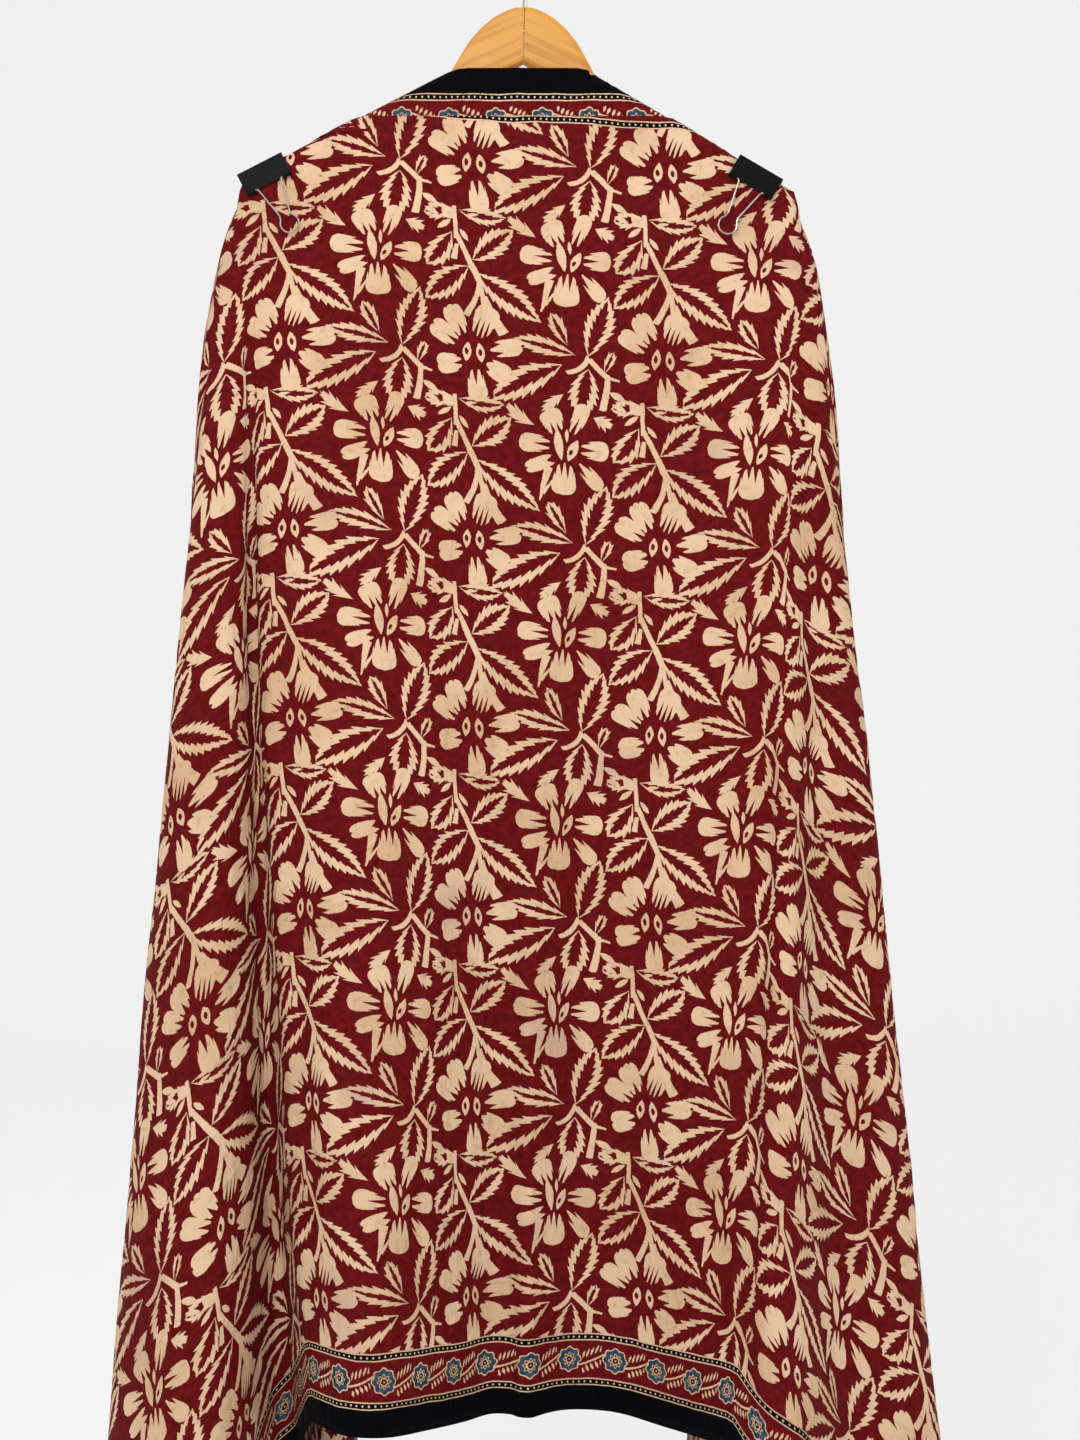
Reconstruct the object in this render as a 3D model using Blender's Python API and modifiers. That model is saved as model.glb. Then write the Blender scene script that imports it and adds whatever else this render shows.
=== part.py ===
"""A printed cloth draped like a cape over a wooden coat hanger and pinched by two clips.

Metres, +Z up. The origin is the inner top of the hook's bend, where a rail carries it. The near side, -Y,
shows the broad panel, and both ends of the cloth wrap round the shoulders to the away side, +Y.
"""

import math
from collections import namedtuple

import bmesh
import bpy
import numpy as np
from mathutils import Matrix, Vector
from mathutils.geometry import closest_point_on_tri

CLOTH_LENGTH = 2.30
CLOTH_WIDTH = 1.13
CLOTH_THICKNESS = 0.0015
CLOTH_TRIANGLES = 11000
COLUMNS = 264
ROWS = 144
ARM_ZONE = 0.022

HANGER_TILT = math.radians(1.6)
ARM_SLOPE = math.radians(28.75)
ARM_TIP_X = 0.2225
ARM_HALF_THICKNESS = 0.006
TIP_EASE = 0.004
ARM_EDGE_ROUND = 0.005
NECK_X = 0.058
DOME_TOP_Z = -0.0690
NOTCH_Z = -0.1160
UNDERSIDE_SLOPE = math.radians(31.0)
FOLD_AXIS_Z = -0.1335
JOINT_GAP = 0.0003

HOOK_RADIUS = 0.002
HOOK_BEND = 0.0195
HOOK_BORE = 0.0023
HOOK_DEPTH = 0.018

FOLD_RADIUS = 0.0098
NECK_LINE_Z = -0.122
WRAP_START = 0.050
WRAP_BREADTH = 0.030
TUCK = 0.019
TUCK_START = 0.030
TUCK_BREADTH = 0.040
TUCK_HALF_LENGTH = 0.20
BIAS_DROP = 0.18
BIAS_LIMIT = 0.35
FLUTE_START = 0.09
EDGE_START = 0.15
FLUTE_LENGTH = 0.48
VALLEY_ARC = 0.285

CLIP_LENGTH = 0.041
CLIP_SHEET = 0.0007
CLIP_HALF_OPENING = 0.0113
CLIP_DROP = 0.008
CLIP_CURL = 0.0016
CLIP_CORNER = 0.0022
CURL_STEPS = 9
CLIP_TUBE = 0.0080
WIRE_RADIUS = 0.00075
HANDLE_LEAN = 0.030

Foot = namedtuple("Foot", "x y")
Fold = namedtuple("Fold", "crest_x crest_y valley_x valley_y breadth")
Side = namedtuple("Side", "name sign clip_from_tip tuck bulge late feet folds edge")

# The near side's section at the hem, from the centre thread outwards, to just past the outline
RIGHT_FEET = (
    Foot(-0.010, -0.011),
    Foot(0.004, -0.015),
    Foot(0.037, 0.006),
    Foot(0.072, 0.007),
    Foot(0.102, -0.010),
    Foot(0.133, -0.038),
    Foot(0.161, -0.070),
    Foot(0.179, -0.101),
    Foot(0.196, -0.114),
    Foot(0.213, -0.110),
    Foot(0.229, -0.090),
    Foot(0.247, -0.060),
    Foot(0.264, -0.034),
    Foot(0.291, -0.024),
    Foot(0.330, -0.016),
    Foot(0.358, 0.008),
    Foot(0.359, 0.045),
)
LEFT_FEET = (
    Foot(-0.010, -0.011),
    Foot(-0.029, -0.012),
    Foot(-0.049, -0.036),
    Foot(-0.073, -0.067),
    Foot(-0.104, -0.102),
    Foot(-0.138, -0.098),
    Foot(-0.167, -0.060),
    Foot(-0.180, -0.022),
    Foot(-0.190, 0.003),
    Foot(-0.202, 0.005),
    Foot(-0.212, -0.018),
    Foot(-0.222, -0.054),
    Foot(-0.243, -0.086),
    Foot(-0.272, -0.092),
    Foot(-0.305, -0.070),
    Foot(-0.340, -0.034),
    Foot(-0.356, 0.008),
    Foot(-0.350, 0.050),
)

# The away side's folds at the hem, from the outline back to the open edges near the middle
RIGHT_FOLDS = (
    Fold(0.316, 0.112, 0.236, 0.014, 0.040),
    Fold(0.214, 0.184, 0.164, 0.034, 0.036),
    Fold(0.142, 0.206, 0.104, 0.036, 0.032),
    Fold(0.078, 0.196, 0.050, 0.060, 0.028),
)
LEFT_FOLDS = (
    Fold(-0.310, 0.122, -0.250, 0.030, 0.036),
    Fold(-0.222, 0.184, -0.166, 0.060, 0.036),
    Fold(-0.148, 0.216, -0.104, 0.040, 0.032),
    Fold(-0.086, 0.190, -0.062, 0.064, 0.026),
)

# The open edge at the hem: its corner, and how the selvedge above it turns inwards to the arm
RIGHT_EDGE = (
    Foot(0.024, 0.120),
    Foot(0.012, 0.080),
    Foot(0.032, 0.038),
    Foot(0.095, 0.014),
    Foot(0.165, 0.006),
)
LEFT_EDGE = (
    Foot(-0.034, 0.130),
    Foot(-0.026, 0.088),
    Foot(-0.046, 0.044),
    Foot(-0.105, 0.018),
    Foot(-0.170, 0.008),
)
SIDES = (
    Side("right", 1, 0.0326, 0.019, 0.020, 0.0, RIGHT_FEET, RIGHT_FOLDS, RIGHT_EDGE),
    Side("left", -1, 0.0142, 0.026, 0.025, 0.5, LEFT_FEET, LEFT_FOLDS, LEFT_EDGE),
)

WOOD = ("light wood", (0.73, 0.38, 0.13, 1.0), 0.45, 0.0)
STEEL = ("steel wire", (0.62, 0.61, 0.60, 1.0), 0.28, 1.0)
BLACK = ("black enamel", (0.012, 0.012, 0.013, 1.0), 0.38, 0.0)
PRINT = ("printed cloth", (0.29, 0.045, 0.03, 1.0), 0.7, 0.0)


def smooth(value):
    """A soft step from 0 to 1 while the value goes from 0 to 1."""
    value = min(max(value, 0.0), 1.0)
    return value * value * (3.0 - 2.0 * value)


def material(name, colour, roughness, metallic):
    made = bpy.data.materials.new(name)
    made.use_nodes = True
    shader = made.node_tree.nodes["Principled BSDF"]
    shader.inputs["Base Color"].default_value = colour
    shader.inputs["Roughness"].default_value = roughness
    shader.inputs["Metallic"].default_value = metallic
    return made


def in_world(x, z):
    """A point of the level hanger, as the hanger hangs: turned about the hook by its tilt."""
    across = x * math.cos(HANGER_TILT) + z * math.sin(HANGER_TILT)
    up = z * math.cos(HANGER_TILT) - x * math.sin(HANGER_TILT)
    return across, up


def underside(x):
    """The height of the level hanger's underside at this distance from its middle."""
    return NOTCH_Z - x * math.tan(UNDERSIDE_SLOPE)


def spline(points, steps=12):
    """Points along a smooth curve through the given ones (Catmull-Rom), as an array of x, y."""
    knots = [points[0], *points, points[-1]]
    curve = []
    for a, b, c, d in zip(knots, knots[1:], knots[2:], knots[3:]):
        a, b, c, d = (np.array(p, float) for p in (a, b, c, d))
        for step in range(steps):
            f = step / steps
            curve.append(
                0.5 * (2 * b + (c - a) * f + (2 * a - 5 * b + 4 * c - d) * f * f + (3 * b - a - 3 * c + d) * f**3)
            )
    curve.append(np.array(points[-1], float))
    return np.array(curve)


def arc_lengths(curve):
    steps = np.hypot(*np.diff(curve, axis=0).T)
    return np.concatenate([[0.0], np.cumsum(steps)])


class Shoulder:
    """One half of the cloth: how a point of the flat cloth lies once it is hung over one arm."""

    def __init__(self, side):
        self.side = side
        self.sign = side.sign
        self.slope = ARM_SLOPE + side.sign * HANGER_TILT
        self.middle = in_world(0.0, NECK_LINE_Z)[0]
        axis_x, axis_z = in_world(side.sign * NECK_X, FOLD_AXIS_Z)
        tip_level = FOLD_AXIS_Z - (ARM_TIP_X - NECK_X) * math.tan(ARM_SLOPE)
        tip_x, tip_z = in_world(side.sign * ARM_TIP_X, tip_level)
        self.root = (abs(axis_x - self.middle), NECK_LINE_Z - axis_z)
        self.tip = (abs(tip_x - self.middle), NECK_LINE_Z - tip_z)
        self.hang = CLOTH_WIDTH - TUCK - self.tip[1]
        self.flap = math.pi - 2 * self.slope
        self.corner = math.atan2(CLOTH_LENGTH / 2 - self.tip[0], -self.tip[1])
        corners = [(NECK_X, FOLD_AXIS_Z), (ARM_TIP_X, tip_level), (ARM_TIP_X, underside(ARM_TIP_X))]
        corners.append((NECK_X, underside(NECK_X)))
        corners = [in_world(side.sign * x, z) for x, z in corners]
        corners = [Vector((x, 0.0, z)) for x, z in corners]
        self.core = (corners[:3], corners[2:] + corners[:1])
        self.trace_section()

    def trace_section(self):
        """The hem's section, by arc length from the centre thread: the near feet, the away folds, the end."""
        near = [tuple(foot) for foot in self.side.feet]
        away = [near[-1]]
        for fold in self.side.folds:
            out = -self.sign * fold.breadth / 2
            away.append((fold.crest_x - out, fold.crest_y - fold.breadth * 0.4))
            away.append((fold.crest_x, fold.crest_y))
            away.append((fold.crest_x + out, fold.crest_y - fold.breadth * 0.4))
            away.append((fold.valley_x - out * 0.7, fold.valley_y + fold.breadth * 0.4))
            away.append((fold.valley_x, fold.valley_y))
            away.append((fold.valley_x + out * 0.7, fold.valley_y + fold.breadth * 0.4))
        away.append(tuple(self.side.edge[0]))
        curve = spline(near + away[1:])
        arcs = arc_lengths(curve)
        seam = arcs[(len(near) - 1) * 12]
        self.outline = (seam - self.tip[0]) / self.hang
        wanted = self.tip[0] + self.hang * self.corner
        self.ease = (wanted - seam) / (arcs[-1] - seam)
        arcs = np.where(arcs > seam, seam + (arcs - seam) * self.ease, arcs)
        under_tip = (self.sign * self.tip[0], FOLD_RADIUS)
        edge = spline([tuple(foot) for foot in self.side.edge] + [under_tip])
        along = arc_lengths(edge)
        last = self.tip[0] + self.hang * self.flap
        self.arcs = np.append(arcs, wanted + along[1:] / along[-1] * (last - wanted))
        self.curve = np.vstack([curve, edge[1:]])

    def foot(self, arc):
        """Where the thread at this arc from the centre comes to at the hem, from above."""
        return np.array([np.interp(arc, self.arcs, self.curve[:, i]) for i in range(2)])

    def growth(self, arc):
        """The power of a thread's spread with its drop: the higher, the lower down its folds begin."""
        ruled = 0.30 * smooth((arc - self.tip[0]) / (0.35 * self.hang))
        return 1.35 - ruled + self.side.late * math.exp(-(((arc - VALLEY_ARC) / 0.06) ** 2))

    def panel(self, s, t):
        """The near panel: threads that hang straight down from the fold over the arm, or from the neck."""
        leave = max(0.0, self.root[1] + (s - self.root[0]) * math.tan(self.slope)) if s > 0 else 0.0
        top = np.array([self.sign * s, -FOLD_RADIUS])
        length = t - leave
        share = length / (CLOTH_WIDTH - TUCK - leave)
        lean = (self.foot(s) - top) * max(share, 0.0) ** self.growth(s)
        drop = math.sqrt(max(length**2 - lean @ lean, 0.0)) if length > 0 else length
        return (*(top + lean), NECK_LINE_Z - leave - drop)

    def over_arm(self, s, t):
        """The strip that rounds the arm, and the flap that lies flat on its away side."""
        across, down = s - self.root[0], t - self.root[1]
        along = across * math.cos(self.slope) + down * math.sin(self.slope)
        beyond = across * math.sin(self.slope) - down * math.cos(self.slope)
        wrap = smooth((s - WRAP_START) / WRAP_BREADTH)
        radius = FOLD_RADIUS / max(wrap, 0.001)
        turn = min(beyond / radius, math.pi)
        below = beyond - math.pi * radius if turn == math.pi else -radius * math.sin(turn)
        x = self.root[0] + along * math.cos(self.slope) - below * math.sin(self.slope)
        z = -self.root[1] - along * math.sin(self.slope) - below * math.cos(self.slope)
        return self.sign * x, radius * (1 - math.cos(turn)) - FOLD_RADIUS, NECK_LINE_Z + z

    def loop(self, angle):
        """The skirt's section without its away folds: from the outline round to the flap under the tip."""
        last = self.side.feet[-1]
        turn = (angle - self.outline) / (self.flap - self.outline)
        start, end = np.array(last), self.curve[-1]
        belly = np.array([self.sign * 0.03, 0.14]) * math.sin(math.pi * turn) * (1 - turn)
        return start + (end - start) * turn + belly

    def skirt(self, rho, angle):
        """The fluted part that hangs from the tip: straight rays of the flat cloth's angle and distance."""
        turn = math.pi * angle / self.flap
        apex = np.array([self.sign * (self.tip[0] + FOLD_RADIUS * math.sin(turn)), -FOLD_RADIUS * math.cos(turn)])
        share = rho / self.hang
        arc = self.tip[0] + self.hang * angle
        target = self.foot(arc)
        if angle > self.outline:
            loop = self.loop(angle)
            begin = FLUTE_START + EDGE_START * smooth((angle - 1.2) / (self.flap - 1.2))
            target = loop + (target - loop) * smooth((rho - begin) / FLUTE_LENGTH)
        rounding = (1 - math.exp(-rho / 0.08)) * max(1 - share * share, 0.0)
        rounding *= smooth(angle / 0.55) * (1 - smooth((angle - 1.0) / (self.flap - 1.0)))
        spread = (target - apex) * share ** self.growth(arc) + np.array([self.sign * self.side.bulge * rounding, 0.0])
        reach = min(math.sqrt(spread @ spread), 0.9 * rho)
        bias = math.sin(2 * min(angle, BIAS_LIMIT)) * (1 - smooth((angle - BIAS_LIMIT) / 0.45))
        bias *= 0.5 + min(share, 1.0)
        drop = math.sqrt(rho * rho - reach * reach) + BIAS_DROP * bias * rho
        return (*(apex + spread), NECK_LINE_Z - self.tip[1] - drop)

    def point(self, s, t):
        """The hung place of the flat cloth's point: s along the length from the centre, t down its width."""
        tuck = TUCK + (self.side.tuck - TUCK) * smooth(s / 0.15)
        t -= tuck * smooth((t - TUCK_START) / TUCK_BREADTH) * (1 - smooth((s - TUCK_HALF_LENGTH) / 0.2))
        across, down = s - self.tip[0], t - self.tip[1]
        angle = math.atan2(across, down)
        rise = (s - self.root[0]) * math.tan(self.slope) + self.root[1]
        if 0 < angle < self.flap:
            x, y, z = self.skirt(math.hypot(across, down), angle)
        elif t >= rise:
            x, y, z = self.panel(s, t)
        else:
            x, y, z = self.over_arm(s, t)
        return Vector((x + self.middle, y, z))

    def nearest_core(self, point):
        """The nearest place of the arm's flat core: the arm from its fold axis down, without its thickness."""
        places = [closest_point_on_tri(point, *corners) for corners in self.core]
        return min(places, key=lambda place: (place - point).length)

    def clear_of_arm(self, point):
        """Pushes a point out to the fold's radius from the arm's core."""
        core = self.nearest_core(point)
        away = point - core
        if 1e-6 < away.length < FOLD_RADIUS:
            point = core + away.normalized() * FOLD_RADIUS
        return point


def add_object(name, mesh, collection, made):
    thing = bpy.data.objects.new(name, mesh)
    collection.objects.link(thing)
    thing.data.materials.clear()
    thing.data.materials.append(made)
    return thing


def make_cloth(collection):
    """The cloth: a flat grid hung over both shoulders, eased, and given its thickness."""
    shoulders = {side.sign: Shoulder(side) for side in SIDES}
    middle = shoulders[1].middle
    mesh = bmesh.new()
    bmesh.ops.create_grid(mesh, x_segments=COLUMNS, y_segments=ROWS, size=0.5)
    for vert in mesh.verts:
        s = vert.co.x * CLOTH_LENGTH
        t = (0.5 - vert.co.y) * CLOTH_WIDTH
        vert.co = shoulders[1 if s >= 0 else -1].point(abs(s), t)
    inside = [vert for vert in mesh.verts if not vert.is_boundary]
    for _ in range(5):
        bmesh.ops.smooth_vert(mesh, verts=inside, factor=0.5, use_axis_x=True, use_axis_y=True, use_axis_z=True)
        for vert in inside:
            vert.co = shoulders[1 if vert.co.x >= middle else -1].clear_of_arm(vert.co)
    plain = []
    for vert in mesh.verts:
        core = shoulders[1 if vert.co.x >= middle else -1].nearest_core(vert.co)
        if (vert.co - core).length > ARM_ZONE:
            plain.append(vert.index)
    data = bpy.data.meshes.new("cloth")
    mesh.to_mesh(data)
    mesh.free()
    cloth = add_object("cloth", data, collection, material(*PRINT))
    cloth.vertex_groups.new(name="away from the arms").add(plain, 1.0, "REPLACE")
    thin = cloth.modifiers.new("fewer faces", "DECIMATE")
    thin.ratio = CLOTH_TRIANGLES / 2 / (2 * COLUMNS * ROWS)
    thin.vertex_group = "away from the arms"
    wall = cloth.modifiers.new("thickness", "SOLIDIFY")
    wall.thickness = CLOTH_THICKNESS
    wall.offset = 0.0
    data.shade_smooth()
    return cloth


def hanger_outline():
    """The level hanger's outline, seen from the near side: the dome, the right arm, and their mirror."""
    top_line = FOLD_AXIS_Z + ARM_HALF_THICKNESS / math.cos(ARM_SLOPE)
    end_x = ARM_TIP_X - TIP_EASE
    tip = Vector((end_x, FOLD_AXIS_Z - (end_x - NECK_X) * math.tan(ARM_SLOPE)))
    normal = Vector((math.sin(ARM_SLOPE), math.cos(ARM_SLOPE)))
    along = Vector((math.cos(ARM_SLOPE), -math.sin(ARM_SLOPE)))
    dome = [(0.0075, -0.0694), (0.0150, -0.0722), (0.0257, -0.0782), (0.0355, -0.0868), (0.0440, -0.0966)]
    dome += [(0.0515, -0.1090), (0.0570, -0.1190), (0.0635, top_line - 0.0055 * math.tan(ARM_SLOPE) - 0.0005)]
    end = [tip + normal * ARM_HALF_THICKNESS]
    for degrees in (60, 25, -10, -50):
        turn = math.radians(degrees)
        end.append(tip + (along * math.cos(turn) + normal * math.sin(turn)) * ARM_HALF_THICKNESS)
    heel = Vector((end_x - 0.001, underside(end_x - 0.001)))
    right = [Vector(p) for p in dome] + end + [heel]
    left = [Vector((-p.x, p.y)) for p in reversed(right)]
    return [Vector((0.0, DOME_TOP_Z))] + right + [Vector((0.0, NOTCH_Z))] + left


def mesh_of(thing):
    """The evaluated shape of a curve as a welded mesh, which takes its place."""
    bpy.context.view_layer.update()
    evaluated = thing.evaluated_get(bpy.context.evaluated_depsgraph_get())
    data = bpy.data.meshes.new_from_object(evaluated)
    data.transform(thing.matrix_world)
    mesh = bmesh.new()
    mesh.from_mesh(data)
    bmesh.ops.remove_doubles(mesh, verts=mesh.verts, dist=0.00001)
    bmesh.ops.recalc_face_normals(mesh, faces=mesh.faces)
    mesh.to_mesh(data)
    mesh.free()
    bpy.data.objects.remove(thing)
    return data


def make_hanger(collection, cutters):
    """Two halves of wood that meet at the centre, with the hook's bore between them."""
    curve = bpy.data.curves.new("hanger outline", "CURVE")
    curve.dimensions = "2D"
    curve.fill_mode = "BOTH"
    curve.extrude = ARM_HALF_THICKNESS - ARM_EDGE_ROUND
    curve.bevel_depth = ARM_EDGE_ROUND
    curve.bevel_resolution = 2
    curve.offset = -ARM_EDGE_ROUND
    outline = curve.splines.new("POLY")
    points = hanger_outline()
    outline.points.add(len(points) - 1)
    for point, place in zip(outline.points, points):
        point.co = (place.x, place.y, 0.0, 1.0)
    outline.use_cyclic_u = True
    thing = bpy.data.objects.new("hanger outline", curve)
    collection.objects.link(thing)
    thing.matrix_world = Matrix.Rotation(HANGER_TILT, 4, "Y") @ Matrix.Rotation(math.radians(90), 4, "X")
    whole = mesh_of(thing)

    bpy.ops.mesh.primitive_cylinder_add(
        vertices=16, radius=HOOK_BORE, depth=2 * HOOK_DEPTH, location=(0.0, 0.0, 0.0)
    )
    bore = bpy.context.object
    bore.name = "hook bore"
    bore.matrix_world = Matrix.Rotation(HANGER_TILT, 4, "Y") @ Matrix.Translation((0.0, 0.0, DOME_TOP_Z))
    bore.hide_render = True
    bore.display_type = "WIRE"
    for other in list(bore.users_collection):
        other.objects.unlink(bore)
    cutters.objects.link(bore)

    wood = material(*WOOD)
    normal = Vector((math.cos(HANGER_TILT), 0.0, -math.sin(HANGER_TILT)))
    for side in SIDES:
        half = bmesh.new()
        half.from_mesh(whole)
        cut = bmesh.ops.bisect_plane(
            half,
            geom=half.verts[:] + half.edges[:] + half.faces[:],
            plane_co=normal * side.sign * JOINT_GAP / 2,
            plane_no=normal * -side.sign,
            clear_outer=True,
        )
        edges = [item for item in cut["geom_cut"] if isinstance(item, bmesh.types.BMEdge)]
        bmesh.ops.edgeloop_fill(half, edges=edges)
        bmesh.ops.recalc_face_normals(half, faces=half.faces)
        data = bpy.data.meshes.new(f"hanger_{side.name}")
        half.to_mesh(data)
        half.free()
        piece = add_object(f"hanger_{side.name}", data, collection, wood)
        boolean = piece.modifiers.new("bore", "BOOLEAN")
        boolean.object = bore
        boolean.solver = "EXACT"
        data.shade_smooth()
        data.set_sharp_from_angle(angle=math.radians(35))
    bpy.data.meshes.remove(whole)


def make_wire(name, path, radius, collection, made, place):
    """A round wire along a path of points, with closed ends."""
    curve = bpy.data.curves.new(name, "CURVE")
    curve.dimensions = "3D"
    curve.bevel_depth = radius
    curve.bevel_resolution = 2
    curve.use_fill_caps = True
    line = curve.splines.new("POLY")
    line.points.add(len(path) - 1)
    for point, co in zip(line.points, path):
        point.co = (*co, 1.0)
    thing = bpy.data.objects.new(name, curve)
    collection.objects.link(thing)
    curve.materials.append(made)
    thing.matrix_world = place
    return thing


def arc(centre, radius, start, stop, steps):
    """Points of an arc in the XZ plane, by its angles from +X in degrees."""
    turns = [math.radians(start + (stop - start) * i / steps) for i in range(steps + 1)]
    return [(centre[0] + radius * math.cos(a), 0.0, centre[1] + radius * math.sin(a)) for a in turns]


def make_hook(collection):
    """The hook: up from the wood, out through a small bend, and over the rail to a plain end."""
    bend = HOOK_BEND + HOOK_RADIUS
    centre = (0.0, -HOOK_BEND)
    path = [(0.0, 0.0, DOME_TOP_Z - HOOK_DEPTH + 0.0005), (0.0, 0.0, -0.060), (0.0, 0.0, -0.054)]
    path += [(0.0018, 0.0, -0.0485), (0.0065, 0.0, -0.0430), (0.0120, 0.0, -0.0385)]
    path += arc(centre, bend, -47, 205, 26)
    steel = material(*STEEL)
    return make_wire("hook", path, HOOK_RADIUS, collection, steel, Matrix.Rotation(HANGER_TILT, 4, "Y"))


def clip_profile():
    """The clip's section, spine up, from the near lip's curl to the away one, as y, z pairs."""
    centre = (-CLIP_HALF_OPENING - CLIP_CURL, -CLIP_DROP)
    near = []
    for step in range(CURL_STEPS + 1):
        turn = math.radians(-270 * (1 - step / CURL_STEPS))
        near.append((centre[0] + CLIP_CURL * math.cos(turn), centre[1] + CLIP_CURL * math.sin(turn)))
    plate = [(-CLIP_HALF_OPENING, CLIP_HALF_OPENING - CLIP_CORNER)]
    for degrees in (150, 120, 90):
        turn = math.radians(degrees)
        y = -CLIP_HALF_OPENING + CLIP_CORNER + CLIP_CORNER * math.cos(turn)
        plate.append((y, CLIP_HALF_OPENING - CLIP_CORNER + CLIP_CORNER * math.sin(turn)))
    half = near + plate
    return half + [(-y, z) for y, z in reversed(half)]


def make_clip(side, shoulder, collection, black, steel):
    """A sprung clip astride the arm: its body, and a wire handle folded down on each face."""
    profile = clip_profile()
    half = CLIP_LENGTH / 2
    stations = [-half, -half + CLIP_TUBE, half - CLIP_TUBE, half]
    sheet = bmesh.new()
    rings = []
    for x in stations:
        rings.append([sheet.verts.new((x, y, z)) for y, z in profile])
    last = len(profile) - 2
    for bay in range(len(stations) - 1):
        for i in range(len(profile) - 1):
            in_curl = i < CURL_STEPS or i > last - CURL_STEPS
            if bay == 1 and in_curl:
                continue
            corners = (rings[bay][i], rings[bay + 1][i], rings[bay + 1][i + 1], rings[bay][i + 1])
            sheet.faces.new(corners)
    bmesh.ops.recalc_face_normals(sheet, faces=sheet.faces)
    data = bpy.data.meshes.new(f"{side.name}_clip")
    sheet.to_mesh(data)
    sheet.free()
    length = math.hypot(shoulder.tip[0] - shoulder.root[0], shoulder.tip[1] - shoulder.root[1])
    along = length - side.clip_from_tip
    x = shoulder.middle + side.sign * (shoulder.root[0] + along * math.cos(shoulder.slope))
    z = NECK_LINE_Z - shoulder.root[1] - along * math.sin(shoulder.slope)
    place = Matrix.Translation((x, 0.0, z)) @ Matrix.Rotation(side.sign * shoulder.slope, 4, "Y")
    body = add_object(f"{side.name}_clip", data, collection, black)
    body.matrix_world = place
    wall = body.modifiers.new("sheet", "SOLIDIFY")
    wall.thickness = CLIP_SHEET
    wall.offset = 0.0
    data.shade_smooth()
    data.set_sharp_from_angle(angle=math.radians(40))
    lip = (-CLIP_HALF_OPENING - CLIP_CURL, -CLIP_DROP)
    leg = [(0.0190, 0.0), (0.0116, 0.0), (0.0108, -0.0006), (0.0101, -0.0022), (0.0046, -0.0280)]
    bulb = [(0.0052, -0.0312), (0.0072, -0.0345), (0.0078, -0.0375), (0.0066, -0.0415), (0.0036, -0.0440)]
    outline = leg + bulb
    outline = outline + [(0.0, -0.0446)] + [(-x, z) for x, z in reversed(outline)]
    for face, name in ((1, "near"), (-1, "away")):
        path = [(x, face * (lip[0] + HANDLE_LEAN * down), lip[1] + down) for x, down in outline]
        make_wire(f"{side.name}_clip_{name}_handle", path, WIRE_RADIUS, collection, steel, place)


def main():
    for thing in list(bpy.data.objects):
        bpy.data.objects.remove(thing)
    collection = bpy.data.collections.new("ajrakh cloth on a hanger")
    cutters = bpy.data.collections.new("cutters")
    for made in (collection, cutters):
        bpy.context.scene.collection.children.link(made)
    make_cloth(collection)
    make_hanger(collection, cutters)
    make_hook(collection)
    black, steel = material(*BLACK), material(*STEEL)
    for side in SIDES:
        make_clip(side, Shoulder(side), collection, black, steel)


main()
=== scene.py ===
"""A block-printed cloth hung like a cape on a wooden coat hanger and pinched by two spring clips.

Metres, +Z up. The origin is the inner top of the hook's bend. The near side, -Y, shows the broad panel, and
both ends of the cloth wrap round the shoulders to the away side, +Y.
"""

import logging
import math
from dataclasses import dataclass
from enum import Enum

import bmesh
import bpy
import numpy as np
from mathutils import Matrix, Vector, noise
from mathutils.bvhtree import BVHTree
from mathutils.geometry import closest_point_on_tri


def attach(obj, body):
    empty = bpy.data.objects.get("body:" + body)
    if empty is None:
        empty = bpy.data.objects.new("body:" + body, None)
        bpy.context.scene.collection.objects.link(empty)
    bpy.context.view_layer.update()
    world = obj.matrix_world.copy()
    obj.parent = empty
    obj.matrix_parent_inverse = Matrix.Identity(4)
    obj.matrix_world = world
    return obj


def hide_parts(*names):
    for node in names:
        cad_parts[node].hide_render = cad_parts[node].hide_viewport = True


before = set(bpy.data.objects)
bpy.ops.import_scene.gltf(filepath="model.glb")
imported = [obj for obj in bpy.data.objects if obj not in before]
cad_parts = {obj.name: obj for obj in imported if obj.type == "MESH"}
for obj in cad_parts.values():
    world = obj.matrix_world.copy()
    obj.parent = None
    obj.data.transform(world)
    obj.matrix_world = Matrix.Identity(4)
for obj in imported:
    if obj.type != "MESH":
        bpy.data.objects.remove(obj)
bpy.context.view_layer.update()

LOG = logging.getLogger("cloth on a hanger")

Place = tuple[float, float]
Point = tuple[float, float, float]
Tone = tuple[float, float, float, float]
Socket = bpy.types.NodeSocket
Finish = bpy.types.Material

FLAT_LENGTH = 2.30
FLAT_WIDTH = 1.13
HANGER_TILT = math.radians(1.6)
ARM_SLOPE = math.radians(28.75)
ARM_TIP_X = 0.2225
NECK_X = 0.058
FOLD_AXIS_Z = -0.1335
NOTCH_Z = -0.1160
UNDERSIDE_SLOPE = math.radians(31.0)
NECK_LINE_Z = -0.122
CURVE_STEPS = 12


class Lie(Enum):
    """Where a point of the flat cloth comes to lie."""

    PANEL = "hangs straight down on the near side"
    ARM = "rounds the arm and lies on its away side"
    SKIRT = "hangs in folds below the arm's tip"


@dataclass(frozen=True)
class Foot:
    """A place of the hem, seen from above."""

    x: float
    y: float


@dataclass(frozen=True)
class Fold:
    """A fold of the away side at the hem: its crest, the valley after it, and how broad the crest is."""

    crest_x: float
    crest_y: float
    valley_x: float
    valley_y: float
    breadth: float


@dataclass(frozen=True)
class Half:
    """What differs between the right and the left half of the hung cloth."""

    name: str
    sign: int
    tuck: float
    bulge: float
    late: float
    feet: tuple[Foot, ...]
    folds: tuple[Fold, ...]
    edge: tuple[Foot, ...]


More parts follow.
